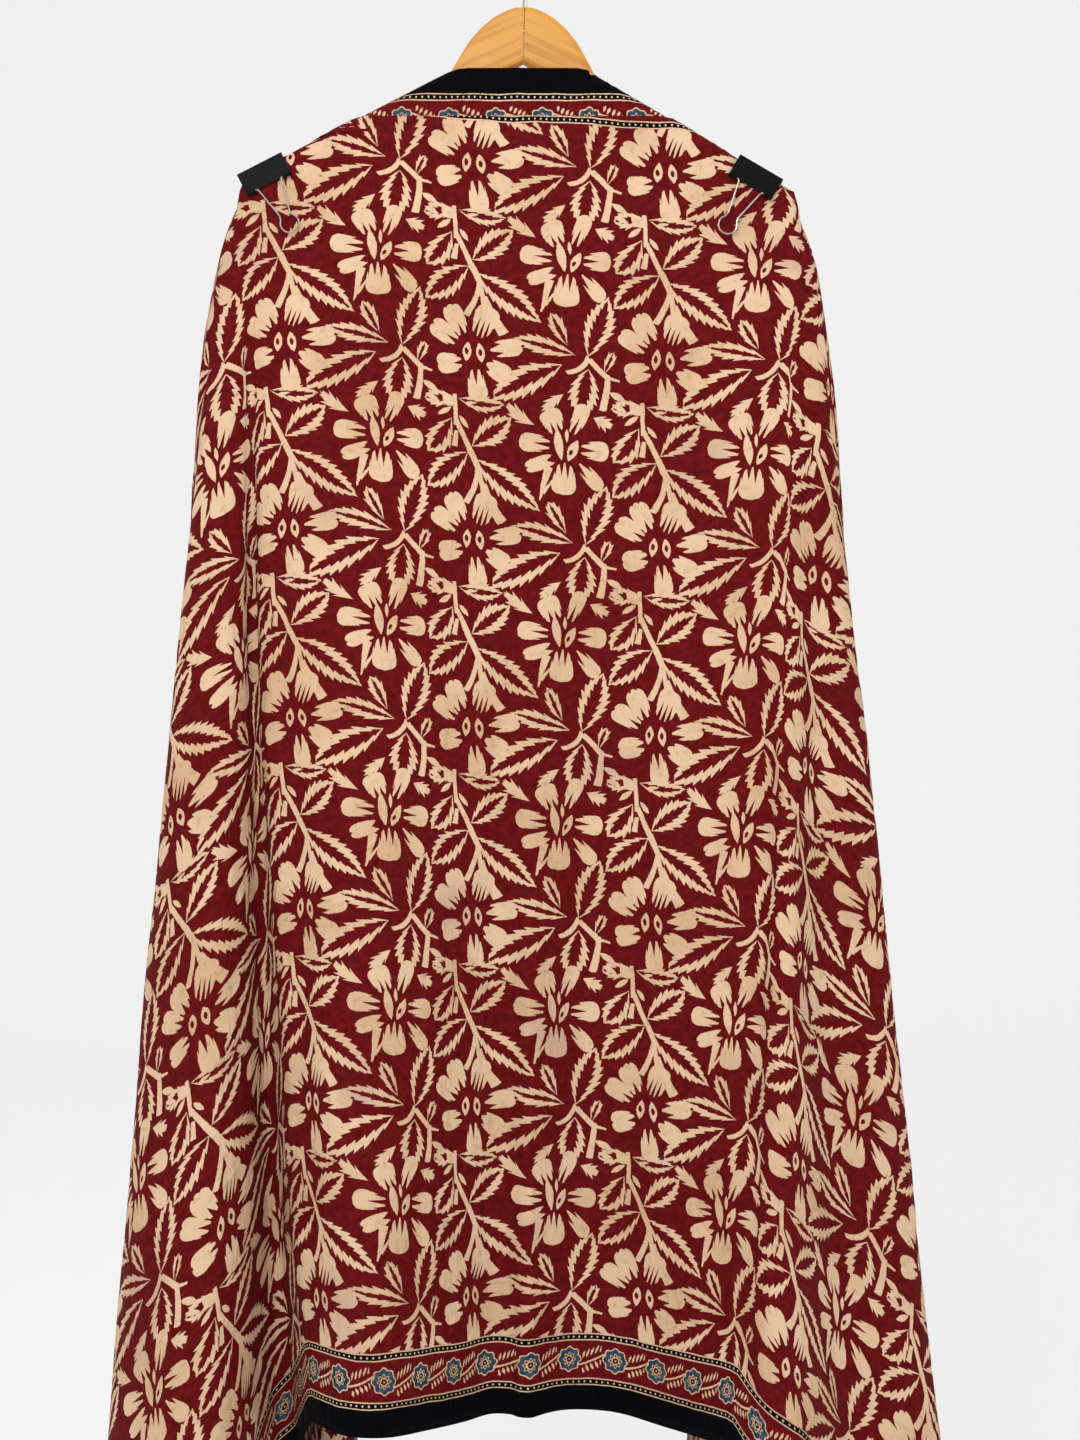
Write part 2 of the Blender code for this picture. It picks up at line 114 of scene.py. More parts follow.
RIGHT = Half(
    name="right",
    sign=1,
    tuck=0.0125,
    bulge=0.020,
    late=0.0,
    feet=(
        Foot(-0.010, -0.011),
        Foot(0.004, -0.015),
        Foot(0.037, 0.006),
        Foot(0.072, 0.007),
        Foot(0.102, -0.010),
        Foot(0.133, -0.038),
        Foot(0.161, -0.070),
        Foot(0.179, -0.101),
        Foot(0.196, -0.114),
        Foot(0.213, -0.110),
        Foot(0.229, -0.090),
        Foot(0.247, -0.060),
        Foot(0.264, -0.034),
        Foot(0.291, -0.024),
        Foot(0.330, -0.016),
        Foot(0.358, 0.008),
        Foot(0.359, 0.045),
    ),
    folds=(
        Fold(0.316, 0.112, 0.236, 0.014, 0.040),
        Fold(0.214, 0.184, 0.164, 0.034, 0.036),
        Fold(0.142, 0.206, 0.104, 0.036, 0.032),
        Fold(0.078, 0.196, 0.050, 0.060, 0.028),
    ),
    edge=(
        Foot(0.024, 0.120),
        Foot(0.012, 0.080),
        Foot(0.032, 0.038),
        Foot(0.095, 0.014),
        Foot(0.165, 0.006),
    ),
)
LEFT = Half(
    name="left",
    sign=-1,
    tuck=0.028,
    bulge=0.025,
    late=0.5,
    feet=(
        Foot(-0.010, -0.011),
        Foot(-0.029, -0.012),
        Foot(-0.049, -0.036),
        Foot(-0.073, -0.067),
        Foot(-0.104, -0.102),
        Foot(-0.138, -0.098),
        Foot(-0.167, -0.060),
        Foot(-0.180, -0.022),
        Foot(-0.190, 0.003),
        Foot(-0.202, 0.005),
        Foot(-0.212, -0.018),
        Foot(-0.222, -0.054),
        Foot(-0.243, -0.086),
        Foot(-0.272, -0.092),
        Foot(-0.305, -0.070),
        Foot(-0.340, -0.034),
        Foot(-0.356, 0.008),
        Foot(-0.350, 0.050),
    ),
    folds=(
        Fold(-0.310, 0.122, -0.250, 0.030, 0.036),
        Fold(-0.222, 0.184, -0.166, 0.060, 0.036),
        Fold(-0.148, 0.216, -0.104, 0.040, 0.032),
        Fold(-0.086, 0.190, -0.062, 0.064, 0.026),
    ),
    edge=(
        Foot(-0.034, 0.130),
        Foot(-0.026, 0.088),
        Foot(-0.046, 0.044),
        Foot(-0.105, 0.018),
        Foot(-0.170, 0.008),
    ),
)


@dataclass(frozen=True)
class Drag:
    """A soft trough pulled into the cloth between two of its places, or a ridge if its height is above 0."""

    start: Place
    end: Place
    height: float
    breadth: float
    fade: float = 0.25

    def lift(self, s: float, t: float) -> float:
        """How far it lifts the cloth's face at a place.

        Args:
            s: along the cloth's length from the centre thread.
            t: down its width from the neck line.

        Returns:
            The lift out of the face, in metres.
        """
        run_s, run_t = self.end[0] - self.start[0], self.end[1] - self.start[1]
        length = math.hypot(run_s, run_t)
        share = ((s - self.start[0]) * run_s + (t - self.start[1]) * run_t) / length**2
        if not 0.0 < share < 1.0:
            return 0.0
        across = ((s - self.start[0]) * run_t - (t - self.start[1]) * run_s) / length
        ends = soft_step(share / self.fade) * soft_step((1.0 - share) / self.fade)
        return self.height * ends * bump_at(across, 0.0, self.breadth)


DRAGS = (
    Drag((-0.214, 0.150), (-0.262, 0.560), -0.0042, 0.011),
    Drag((-0.188, 0.165), (-0.196, 0.620), 0.0030, 0.017),
    Drag((-0.196, 0.420), (-0.214, 1.120), -0.0040, 0.014),
    Drag((-0.118, 0.110), (-0.172, 0.340), -0.0026, 0.010),
    Drag((-0.060, 0.360), (-0.052, 1.060), -0.0024, 0.012),
    Drag((-0.020, 0.150), (-0.028, 0.700), 0.0014, 0.012),
    Drag((0.052, 0.300), (0.060, 1.000), -0.0020, 0.014),
    Drag((0.108, 0.120), (0.150, 0.360), -0.0026, 0.010),
    Drag((0.132, 0.420), (0.128, 1.020), 0.0026, 0.018),
    Drag((0.186, 0.165), (0.204, 0.640), 0.0030, 0.016),
    Drag((0.214, 0.150), (0.250, 0.600), -0.0042, 0.011),
    Drag((0.208, 0.520), (0.232, 1.110), -0.0036, 0.013),
    Drag((-0.060, 0.085), (0.050, 0.104), 0.0012, 0.008),
)


def soft_step(value: float) -> float:
    """A soft step from 0 to 1 while the value goes from 0 to 1."""
    value = min(max(value, 0.0), 1.0)
    return value * value * (3.0 - 2.0 * value)


def bump_at(value: float, centre: float, breadth: float) -> float:
    """A soft hump of height 1 round a centre."""
    return math.exp(-(((value - centre) / breadth) ** 2))


def as_hung(x: float, z: float) -> Place:
    """Turns a point of the level hanger about the hook by its tilt.

    Args:
        x: across from the hook.
        z: up from the hook.

    Returns:
        The point's x and z as the hanger hangs.
    """
    cos, sin = math.cos(HANGER_TILT), math.sin(HANGER_TILT)
    return x * cos + z * sin, z * cos - x * sin


def curve_through(points: list[Place], steps: int = CURVE_STEPS) -> np.ndarray:
    """Points along a smooth curve through the given ones.

    Args:
        points: x and y of the places it passes.
        steps: how many points each stretch takes.

    Returns:
        An array with an x and a y in each row.
    """
    knots = [points[0], *points, points[-1]]
    curve = []
    for a, b, c, d in zip(knots, knots[1:], knots[2:], knots[3:]):
        a, b, c, d = (np.array(p, float) for p in (a, b, c, d))
        for step in range(steps):
            f = step / steps
            bend = (2 * a - 5 * b + 4 * c - d) * f * f + (3 * b - a - 3 * c + d) * f**3
            curve.append(0.5 * (2 * b + (c - a) * f + bend))
    curve.append(np.array(points[-1], float))
    return np.array(curve)


def arc_lengths(curve: np.ndarray) -> np.ndarray:
    """The length along a curve at each of its points."""
    return np.concatenate([[0.0], np.cumsum(np.hypot(*np.diff(curve, axis=0).T))])


@dataclass
class HungHalf:
    """One half of the cloth: how a point of the flat cloth lies once it is hung over one arm."""

    half: Half
    fold_radius: float = 0.0098
    tuck: float = 0.019
    wrap_start: float = 0.040
    wrap_breadth: float = 0.020
    bias_drop: float = 0.18
    bias_limit: float = 0.35
    flute_start: float = 0.09
    edge_start: float = 0.15
    flute_length: float = 0.48
    valley_arc: float = 0.285
    valley_breadth: float = 0.06
    spread_power: float = 1.35
    ruled_power: float = 0.30
    ruled_reach: float = 0.35
    belly: Place = (0.03, 0.14)
    edge_angle: float = 1.2
    bulge_length: float = 0.08
    bulge_whole_at: float = 0.55
    bulge_fades_at: float = 1.0
    steepest_spread: float = 0.9
    bias_fade: float = 0.45
    tuck_grown_at: float = 0.15
    tuck_fades_at: float = 0.20

    def __post_init__(self) -> None:
        """Works out the arm's fold axis and the hem's section."""
        self.sign = self.half.sign
        self.slope = ARM_SLOPE + self.sign * HANGER_TILT
        self.middle = as_hung(0.0, NECK_LINE_Z)[0]
        tip_level = FOLD_AXIS_Z - (ARM_TIP_X - NECK_X) * math.tan(ARM_SLOPE)
        root_x, root_z = as_hung(self.sign * NECK_X, FOLD_AXIS_Z)
        tip_x, tip_z = as_hung(self.sign * ARM_TIP_X, tip_level)
        self.root = (abs(root_x - self.middle), NECK_LINE_Z - root_z)
        self.tip = (abs(tip_x - self.middle), NECK_LINE_Z - tip_z)
        self.hang = FLAT_WIDTH - self.tuck - self.tip[1]
        self.flap = math.pi - 2 * self.slope
        self.corner = math.atan2(FLAT_LENGTH / 2 - self.tip[0], -self.tip[1])
        level = [(NECK_X, FOLD_AXIS_Z), (ARM_TIP_X, tip_level)]
        level += [(x, NOTCH_Z - x * math.tan(UNDERSIDE_SLOPE)) for x in (ARM_TIP_X, NECK_X)]
        corners = [as_hung(self.sign * x, z) for x, z in level]
        corners = [Vector((x, 0.0, z)) for x, z in corners]
        self.core = (corners[:3], corners[2:] + corners[:1])
        self.trace_hem()

    def trace_hem(self) -> None:
        """The hem's section by arc length from the centre thread: near feet, away folds, open edge."""
        near = [(foot.x, foot.y) for foot in self.half.feet]
        away = []
        for fold in self.half.folds:
            out = -self.sign * fold.breadth / 2
            flank = fold.breadth * 0.4
            away.append((fold.crest_x - out, fold.crest_y - flank))
            away.append((fold.crest_x, fold.crest_y))
            away.append((fold.crest_x + out, fold.crest_y - flank))
            away.append((fold.valley_x - out * 0.7, fold.valley_y + flank))
            away.append((fold.valley_x, fold.valley_y))
            away.append((fold.valley_x + out * 0.7, fold.valley_y + flank))
        edge = [(foot.x, foot.y) for foot in self.half.edge]
        curve = curve_through(near + away + edge[:1])
        arcs = arc_lengths(curve)
        seam = arcs[(len(near) - 1) * CURVE_STEPS]
        self.outline = (seam - self.tip[0]) / self.hang
        wanted = self.tip[0] + self.hang * self.corner
        ease = (wanted - seam) / (arcs[-1] - seam)
        arcs = np.where(arcs > seam, seam + (arcs - seam) * ease, arcs)
        selvedge = curve_through(edge + [(self.sign * self.tip[0], self.fold_radius)])
        along = arc_lengths(selvedge)
        last = self.tip[0] + self.hang * self.flap
        self.arcs = np.append(arcs, wanted + along[1:] / along[-1] * (last - wanted))
        self.curve = np.vstack([curve, selvedge[1:]])

    def foot(self, arc: float) -> np.ndarray:
        """Where the thread at this arc from the centre comes to at the hem, from above."""
        return np.array([np.interp(arc, self.arcs, self.curve[:, i]) for i in range(2)])

    def growth(self, arc: float) -> float:
        """The power of a thread's spread with its drop: the higher, the lower down its folds begin.

        Args:
            arc: the thread's arc from the centre one, along the hem.

        Returns:
            The power.
        """
        ruled = self.ruled_power * soft_step((arc - self.tip[0]) / (self.ruled_reach * self.hang))
        late = self.half.late * bump_at(arc, self.valley_arc, self.valley_breadth)
        return self.spread_power - ruled + late

    def panel(self, s: float, t: float) -> Point:
        """A point of the near panel, whose threads hang from the fold over the arm or from the neck.

        Args:
            s: along the cloth's length from the centre thread.
            t: down its width from the neck line.

        Returns:
            Across from the middle, towards the away side, and up.
        """
        leave = 0.0
        if s > 0:
            leave = max(0.0, self.root[1] + (s - self.root[0]) * math.tan(self.slope))
        top = np.array([self.sign * s, -self.fold_radius])
        length = t - leave
        share = length / (FLAT_WIDTH - self.tuck - leave)
        lean = (self.foot(s) - top) * max(share, 0.0) ** self.growth(s)
        drop = math.sqrt(max(length**2 - lean @ lean, 0.0)) if length > 0 else length
        return (*(top + lean), NECK_LINE_Z - leave - drop)

    def over_arm(self, s: float, t: float) -> Point:
        """A point of the strip that rounds the arm, or of the flap on its away side.

        Args:
            s: along the cloth's length from the centre thread.
            t: down its width from the neck line.

        Returns:
            Across from the middle, towards the away side, and up.
        """
        across, down = s - self.root[0], t - self.root[1]
        along = across * math.cos(self.slope) + down * math.sin(self.slope)
        beyond = across * math.sin(self.slope) - down * math.cos(self.slope)
        radius = self.fold_radius / max(soft_step((s - self.wrap_start) / self.wrap_breadth), 0.001)
        turn = min(beyond / radius, math.pi)
        below = beyond - math.pi * radius if turn == math.pi else -radius * math.sin(turn)
        x = self.root[0] + along * math.cos(self.slope) - below * math.sin(self.slope)
        z = -self.root[1] - along * math.sin(self.slope) - below * math.cos(self.slope)
        return self.sign * x, radius * (1 - math.cos(turn)) - self.fold_radius, NECK_LINE_Z + z

    def loop(self, angle: float) -> np.ndarray:
        """The skirt's section without its away folds, from the outline round to the flap.

        Args:
            angle: of the ray, on the flat cloth from the thread below the arm's tip.

        Returns:
            The place at the hem, from above.
        """
        last = self.half.feet[-1]
        turn = (angle - self.outline) / (self.flap - self.outline)
        start, end = np.array((last.x, last.y)), self.curve[-1]
        belly = np.array([self.sign * self.belly[0], self.belly[1]]) * math.sin(math.pi * turn) * (1 - turn)
        return start + (end - start) * turn + belly

    def skirt(self, rho: float, angle: float) -> Point:
        """A point of the fluted part, which hangs from the arm's tip.

        Args:
            rho: the point's distance from the tip on the flat cloth.
            angle: of the ray to it, from the thread below the tip.

        Returns:
            Across from the middle, towards the away side, and up.
        """
        turn = math.pi * angle / self.flap
        radius = self.fold_radius
        apex = np.array([self.sign * (self.tip[0] + radius * math.sin(turn)), -radius * math.cos(turn)])
        share = rho / self.hang
        arc = self.tip[0] + self.hang * angle
        target = self.foot(arc)
        if angle > self.outline:
            loop = self.loop(angle)
            begin = self.flute_start + self.edge_start * soft_step(
                (angle - self.edge_angle) / (self.flap - self.edge_angle)
            )
            target = loop + (target - loop) * soft_step((rho - begin) / self.flute_length)
        rounding = (1 - math.exp(-rho / self.bulge_length)) * max(1 - share * share, 0.0)
        fade = soft_step((angle - self.bulge_fades_at) / (self.flap - self.bulge_fades_at))
        rounding *= soft_step(angle / self.bulge_whole_at) * (1 - fade)
        bulge = np.array([self.sign * self.half.bulge * rounding, 0.0])
        spread = (target - apex) * share ** self.growth(arc) + bulge
        reach = min(math.sqrt(spread @ spread), self.steepest_spread * rho)
        bias = math.sin(2 * min(angle, self.bias_limit))
        bias *= (1 - soft_step((angle - self.bias_limit) / self.bias_fade)) * (0.5 + min(share, 1.0))
        drop = math.sqrt(rho * rho - reach * reach) + self.bias_drop * bias * rho
        return (*(apex + spread), NECK_LINE_Z - self.tip[1] - drop)

    def hidden(self, s: float) -> float:
        """How much of the cloth's width the pleat below the first border takes up at this thread."""
        deep = self.tuck + (self.half.tuck - self.tuck) * soft_step(s / self.tuck_grown_at)
        return deep * (1 - soft_step((s - self.tuck_fades_at) / self.tuck_fades_at))

    def lie(self, s: float, t: float) -> Lie:
        """Which part of the drape a point belongs to.

        Args:
            s: along the cloth's length from the centre thread.
            t: down its width from the neck line.

        Returns:
            The part.
        """
        angle = math.atan2(s - self.tip[0], t - self.tip[1])
        if 0 < angle < self.flap:
            return Lie.SKIRT
        rise = (s - self.root[0]) * math.tan(self.slope) + self.root[1]
        return Lie.PANEL if t >= rise else Lie.ARM

    def point(self, s: float, t: float) -> Vector:
        """The hung place of a point.

        Args:
            s: along the cloth's length from the centre thread.
            t: down its width, without what the pleat takes up.

        Returns:
            The point in the object's frame.
        """
        kind = self.lie(s, t)
        if kind is Lie.SKIRT:
            across, down = s - self.tip[0], t - self.tip[1]
            x, y, z = self.skirt(math.hypot(across, down), math.atan2(across, down))
        elif kind is Lie.PANEL:
            x, y, z = self.panel(s, t)
        else:
            x, y, z = self.over_arm(s, t)
        return Vector((x + self.middle, y, z))

    def from_core(self, place: Vector) -> Vector:
        """The way to a place from the nearest point of the arm's middle plane."""
        found = [closest_point_on_tri(place, *corners) for corners in self.core]
        return min((place - point for point in found), key=lambda away: away.length)

    def outward(self, s: float, t: float) -> Vector:
        """The direction out of the cloth's face at a point.

        Args:
            s: along the cloth's length from the centre thread.
            t: down its width from the neck line.

        Returns:
            The direction, of length 1.
        """
        step = 0.002
        down = self.point(s, t + step) - self.point(s, t - step)
        across = self.point(s + step, t) - self.point(s - step, t)
        return (down.cross(across) * self.sign).normalized()


@dataclass
class DrapedCloth:
    """The cloth as a thin sheet: hung, pleated below the neck, creased, and kept clear of the wood."""

    thickness: float = 0.0005
    fine_step: float = 0.0012
    pleat_at: float = 0.0395
    pleat_layer: float = 0.0008
    clearance: float = 0.0009
    crease_height: float = 0.0035
    ease_zone: float = 0.035
    eases: int = 5
    search: float = 0.012
    pleat_rows: Place = (0.030, 0.080)
    pleat_turn: float = 0.003
    pleat_flat: float = 0.045
    whole_pleat: float = 0.012
    ridge_at: float = -0.003
    ridge_drift: float = 0.020
    ridge_breadth: float = 0.010
    trough: Point = (0.022, 0.012, 0.0022)
    unevenness: float = 0.0024
    uneven_from: float = 0.08
    uneven_over: float = 0.15
    bake_margin: float = 0.01
    bake_height: float = 0.47
    reverse_drop: float = 0.49
    edge_step: float = 0.004

    def columns(self) -> np.ndarray:
        """The threads' places along the length, closer together at the centre crease.

        Returns:
            The places, in metres from the centre thread.
        """
        middle = np.arange(-0.021, 0.0211, 0.003)
        side = np.linspace(0.027, FLAT_LENGTH / 2, 128)
        return np.concatenate([-side[::-1], middle, side])

    def rows(self) -> np.ndarray:
        """The rows' places down the width, closer together at the pleat.

        Returns:
            The places, in metres from the neck line.
        """
        top = np.arange(0.0, 0.0355, 0.0035)
        pleat = np.arange(0.036, 0.0725, self.fine_step)
        below = np.arange(0.076, 0.100, 0.005)
        rest = np.linspace(0.103, FLAT_WIDTH, 121)
        return np.concatenate([top, pleat, below, rest])

    def hang(self, halves: dict[int, HungHalf], s: float, t: float) -> Vector:
        """Hangs one point of the flat cloth, with the pleat's layers and the creases.

        Args:
            halves: the two halves by their sign.
            s: along the cloth's length from the centre thread.
            t: down its width from the neck line.

        Returns:
            The point in the object's frame.
        """
        half = halves[1 if s >= 0 else -1]
        across = abs(s)
        hidden = half.hidden(across)
        past = t - self.pleat_at
        layer = 0.0
        if past <= 0:
            fall = t
        elif past < hidden / 2:
            fall = t
            layer = 0.15 * soft_step(past / self.pleat_turn)
        elif past < hidden:
            fall = self.pleat_at + hidden - past
            layer = 1.0
        else:
            fall = t - hidden
            layer = 2.0 * (1 - soft_step((past - hidden) / self.pleat_flat))
        place = half.point(across, fall)
        lift = layer * self.pleat_layer * min(hidden / self.whole_pleat, 1.0)
        lift += self.crease(s, t)
        if abs(lift) > 1e-5:
            place = place + half.outward(across, fall) * lift
        return place

    def crease(self, s: float, t: float) -> float:
        """How far the centre crease, the drags and the cloth's own unevenness lift the face at a point.

        Args:
            s: along the cloth's length from the centre thread.
            t: down its width from the neck line.

        Returns:
            The lift out of the face, in metres.
        """
        share = t / FLAT_WIDTH
        ridge = self.ridge_at + self.ridge_drift * share
        beside, breadth, depth = self.trough
        lift = self.crease_height * (0.25 + 0.75 * share) * math.exp(-abs(s - ridge) / self.ridge_breadth)
        lift -= depth * bump_at(s, ridge - beside, breadth) * share
        broad = noise.noise(Vector((s * 9.0, t * 5.0, 3.7)))
        small = noise.noise(Vector((s * 24.0, t * 13.0, 8.1)))
        lift += sum(drag.lift(s, t) for drag in DRAGS)
        settled = soft_step((t - self.uneven_from) / self.uneven_over)
        return lift + self.unevenness * (broad + 0.5 * small) * settled

    def wood(self) -> BVHTree:
        """The hanger's two halves as one tree to measure from.

        Returns:
            The tree.
        """
        verts, faces = [], []
        for name in ("hanger_left", "hanger_right"):
            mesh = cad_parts[name].data
            start = len(verts)
            verts += [vert.co.copy() for vert in mesh.vertices]
            faces += [tuple(start + i for i in face.vertices) for face in mesh.polygons]
        return BVHTree.FromPolygons(verts, faces)

    def keep_clear(self, mesh: bmesh.types.BMesh, flat: dict, halves: dict[int, HungHalf]) -> None:
        """Eases the sheet round the arms, and pushes it out of the wood.

        Args:
            mesh: the hung sheet.
            flat: each point's place on the flat cloth.
            halves: the two halves by their sign.
        """
        wood = self.wood()
        near = []
        for vert in mesh.verts:
            half = halves[1 if flat[vert][0] >= 0 else -1]
            by_wood = wood.find_nearest(vert.co, self.search)[0]
            if half.from_core(vert.co).length < self.ease_zone or by_wood:
                near.append((vert, half))
        first, last = self.pleat_rows
        free = [vert for vert, _ in near if not vert.is_boundary and not first < flat[vert][1] < last]
        for _ in range(self.eases):
            bmesh.ops.smooth_vert(
                mesh, verts=free, factor=0.5, use_axis_x=True, use_axis_y=True, use_axis_z=True
            )
            for vert, half in near:
                away = half.from_core(vert.co)
                if 1e-6 < away.length < half.fold_radius:
                    vert.co += away * (half.fold_radius / away.length - 1)
                self.push_out(vert, wood)

    def push_out(self, vert: bmesh.types.BMVert, wood: BVHTree) -> None:
        """Moves a point that is in the wood, or too close to it, out to the clearance.

        Args:
            vert: the point.
            wood: the hanger.
        """
        place, normal, _, distance = wood.find_nearest(vert.co, self.search)
        if place is None:
            return
        if (vert.co - place).dot(normal) < 0 or distance < self.clearance:
            vert.co = place + normal * self.clearance

    def build(self) -> bpy.types.Object:
        """Builds the sheet.

        Returns:
            The cloth's object, with its thickness, its flat places as a UV map and its two sides' slots.
        """
        halves = {half.sign: HungHalf(half) for half in (RIGHT, LEFT)}
        columns, rows = self.columns(), self.rows()
        mesh = bmesh.new()
        count_s, count_t = len(columns) - 1, len(rows) - 1
        bmesh.ops.create_grid(mesh, x_segments=count_s, y_segments=count_t, size=0.5)
        flat = {}
        for vert in mesh.verts:
            s = float(columns[round((vert.co.x + 0.5) * count_s)])
            t = float(rows[round((0.5 - vert.co.y) * count_t)])
            flat[vert] = (s, t)
            vert.co = self.hang(halves, s, t)
        threads = mesh.loops.layers.uv.new("flat cloth")
        bake = mesh.loops.layers.uv.new("OFBake")
        for face in mesh.faces:
            for loop in face.loops:
                s, t = flat[loop.vert]
                loop[threads].uv = (s, t)
                across = self.bake_margin + (1 - 2 * self.bake_margin) * (s / FLAT_LENGTH + 0.5)
                loop[bake].uv = (across, 1 - self.bake_margin - self.bake_height * t / FLAT_WIDTH)
        self.keep_clear(mesh, flat, halves)
        panel = Vector((0.05, -0.02, -0.5))
        front = min(mesh.faces, key=lambda face: (face.calc_center_median() - panel).length)
        front.normal_update()
        if front.normal.y > 0:
            bmesh.ops.reverse_faces(mesh, faces=mesh.faces)
        data = bpy.data.meshes.new("sheet")
        mesh.to_mesh(data)
        mesh.free()
        return self.thicken(data)

    def thicken(self, sheet: bpy.types.Mesh) -> bpy.types.Object:
        """Gives the sheet its thickness, and its reverse a finish and a place of its own for baking.

        Args:
            sheet: the open sheet.

        Returns:
            The closed cloth's object.
        """
        piece = bpy.data.objects.new("draped_cloth", sheet)
        bpy.context.scene.collection.objects.link(piece)
        for side in ("face", "reverse", "edge"):
            sheet.materials.append(bpy.data.materials.new(f"cloth {side}"))
        wall = piece.modifiers.new("thickness", "SOLIDIFY")
        wall.thickness = self.thickness
        wall.offset = -1.0
        wall.material_offset = 1
        wall.material_offset_rim = 2
        bpy.context.view_layer.update()
        evaluated = piece.evaluated_get(bpy.context.evaluated_depsgraph_get())
        closed = bpy.data.meshes.new_from_object(evaluated)
        piece.modifiers.clear()
        mesh = bmesh.new()
        mesh.from_mesh(closed)
        bake = mesh.loops.layers.uv["OFBake"]
        reverse = {vert for face in mesh.faces if face.material_index == 1 for vert in face.verts}
        for face in mesh.faces:
            for loop in face.loops:
                place = loop[bake].uv
                if face.material_index == 1:
                    place.y -= self.reverse_drop
                elif face.material_index == 2 and loop.vert in reverse:
                    place.x += self.edge_step * ((place.x > 0.989) - (place.x < 0.011))
                    place.y += self.edge_step * ((place.y > 0.989) - (place.y < 0.521))
            face.material_index %= 2
        mesh.to_mesh(closed)
        mesh.free()
        closed.name = "draped_cloth"
        closed.materials.clear()
        closed.shade_smooth()
        piece.data = closed
        return piece


class Draft:
    """Draws a pattern with shader nodes: each method adds a node and gives its result."""

    def __init__(self, tree: bpy.types.NodeTree) -> None:
        """Starts on an empty or a prepared node tree."""
        self.tree = tree
        self.count = 0

    def node(self, kind: str, **settings: object) -> bpy.types.Node:
        """Adds a node in the next free place of the sheet.

        Args:
            kind: the node's type.
            settings: its properties and their values.

        Returns:
            The node.
        """
        made = self.tree.nodes.new(kind)
        made.location = (180 * (self.count // 24) - 2400, -140 * (self.count % 24))
        self.count += 1
        for name, value in settings.items():
            setattr(made, name, value)
        return made

    def plug(self, socket: Socket, value: object) -> None:
        """Links a result to a socket, or sets the socket's own value.

        Args:
            socket: the node's input.
            value: another node's result, a number or a vector, or None to leave it.
        """
        if isinstance(value, Socket):
            self.tree.links.new(value, socket)
        elif value is not None:
            socket.default_value = value

    def math(self, operation: str, *values: object, clamp: bool = False) -> Socket:
        """A math node's result.

        Args:
            operation: what it does.
            values: what it works on.
            clamp: whether the result stays between 0 and 1.

        Returns:
            The result.
        """
        made = self.node("ShaderNodeMath", operation=operation, use_clamp=clamp)
        for socket, value in zip(made.inputs, values):
            self.plug(socket, value)
        return made.outputs[0]

    def vector(self, operation: str, *values: object) -> Socket:
        """A vector math node's vector.

        Args:
            operation: what it does.
            values: what it works on.

        Returns:
            The vector.
        """
        made = self.node("ShaderNodeVectorMath", operation=operation)
        for socket, value in zip(made.inputs, values):
            self.plug(socket, value)
        return made.outputs["Vector"]

    def split(self, vector: Socket) -> list[Socket]:
        """A vector's parts.

        Args:
            vector: the vector.

        Returns:
            Its x, y and z.
        """
        made = self.node("ShaderNodeSeparateXYZ")
        self.plug(made.inputs[0], vector)
        return list(made.outputs)

    def join(self, x: object, y: object, z: object = 0.0) -> Socket:
        """A vector of three values.

        Args:
            x: its first part.
            y: its second part.
            z: its third part.

        Returns:
            The vector.
        """
        made = self.node("ShaderNodeCombineXYZ")
        for socket, value in zip(made.inputs, (x, y, z)):
            self.plug(socket, value)
        return made.outputs[0]

    def step(self, value: object, low: float, high: float) -> Socket:
        """A soft step from 0 to 1.

        Args:
            value: what is measured.
            low: where the step starts.
            high: where it ends.

        Returns:
            The step's height.
        """
        made = self.node("ShaderNodeMapRange", interpolation_type="SMOOTHSTEP")
        self.plug(made.inputs["Value"], value)
        made.inputs["From Min"].default_value = low
        made.inputs["From Max"].default_value = high
        return made.outputs["Result"]

    def mix(self, factor: object, first: object, second: object) -> Socket:
        """A colour between two.

        Args:
            factor: how far it is towards the second.
            first: a colour.
            second: another.

        Returns:
            The colour.
        """
        made = self.node("ShaderNodeMix", data_type="RGBA")
        self.plug(made.inputs[0], factor)
        self.plug(made.inputs[6], first)
        self.plug(made.inputs[7], second)
        return made.outputs[2]

    def noise(self, vector: object, scale: float, detail: float, output: str = "Fac") -> Socket:
        """Noise over a vector.

        Args:
            vector: where it is read.
            scale: how fine it is.
            detail: how many finer layers it has.
            output: "Fac" for one value, "Color" for three.

        Returns:
            The noise, from 0 to 1.
        """
        made = self.node("ShaderNodeTexNoise")
        self.plug(made.inputs["Vector"], vector)
        made.inputs["Scale"].default_value = scale
        made.inputs["Detail"].default_value = detail
        return made.outputs[output]

    def relief(self, height: object, strength: float, depth: float, normal: object = None) -> Socket:
        """A surface's normal with a relief on it.

        Args:
            height: the relief, from 0 to 1.
            strength: how strongly it shows.
            depth: its height, in metres.
            normal: the normal with the reliefs below it.

        Returns:
            The normal.
        """
        bump = self.node("ShaderNodeBump")
        bump.inputs["Strength"].default_value = strength
        bump.inputs["Distance"].default_value = depth
        self.plug(bump.inputs["Height"], height)
        self.plug(bump.inputs["Normal"], normal)
        return bump.outputs[0]

    def local(self, point: object, base: Place, tip: Place) -> list[Socket]:
        """A point in a shape's own measure.

        Args:
            point: the point, in mm.
            base: where the shape starts.
            tip: where it ends.

        Returns:
            How far along the point is, 0 at the base and 1 at the tip, and how far across, in mm.
        """
        length = math.hypot(tip[0] - base[0], tip[1] - base[1])
        x, y = (tip[0] - base[0]) / length, (tip[1] - base[1]) / length
        from_base = self.vector("SUBTRACT", point, (base[0], base[1], 0.0))
        return [self.dot(from_base, (x / length, y / length, 0.0)), self.dot(from_base, (-y, x, 0.0))]

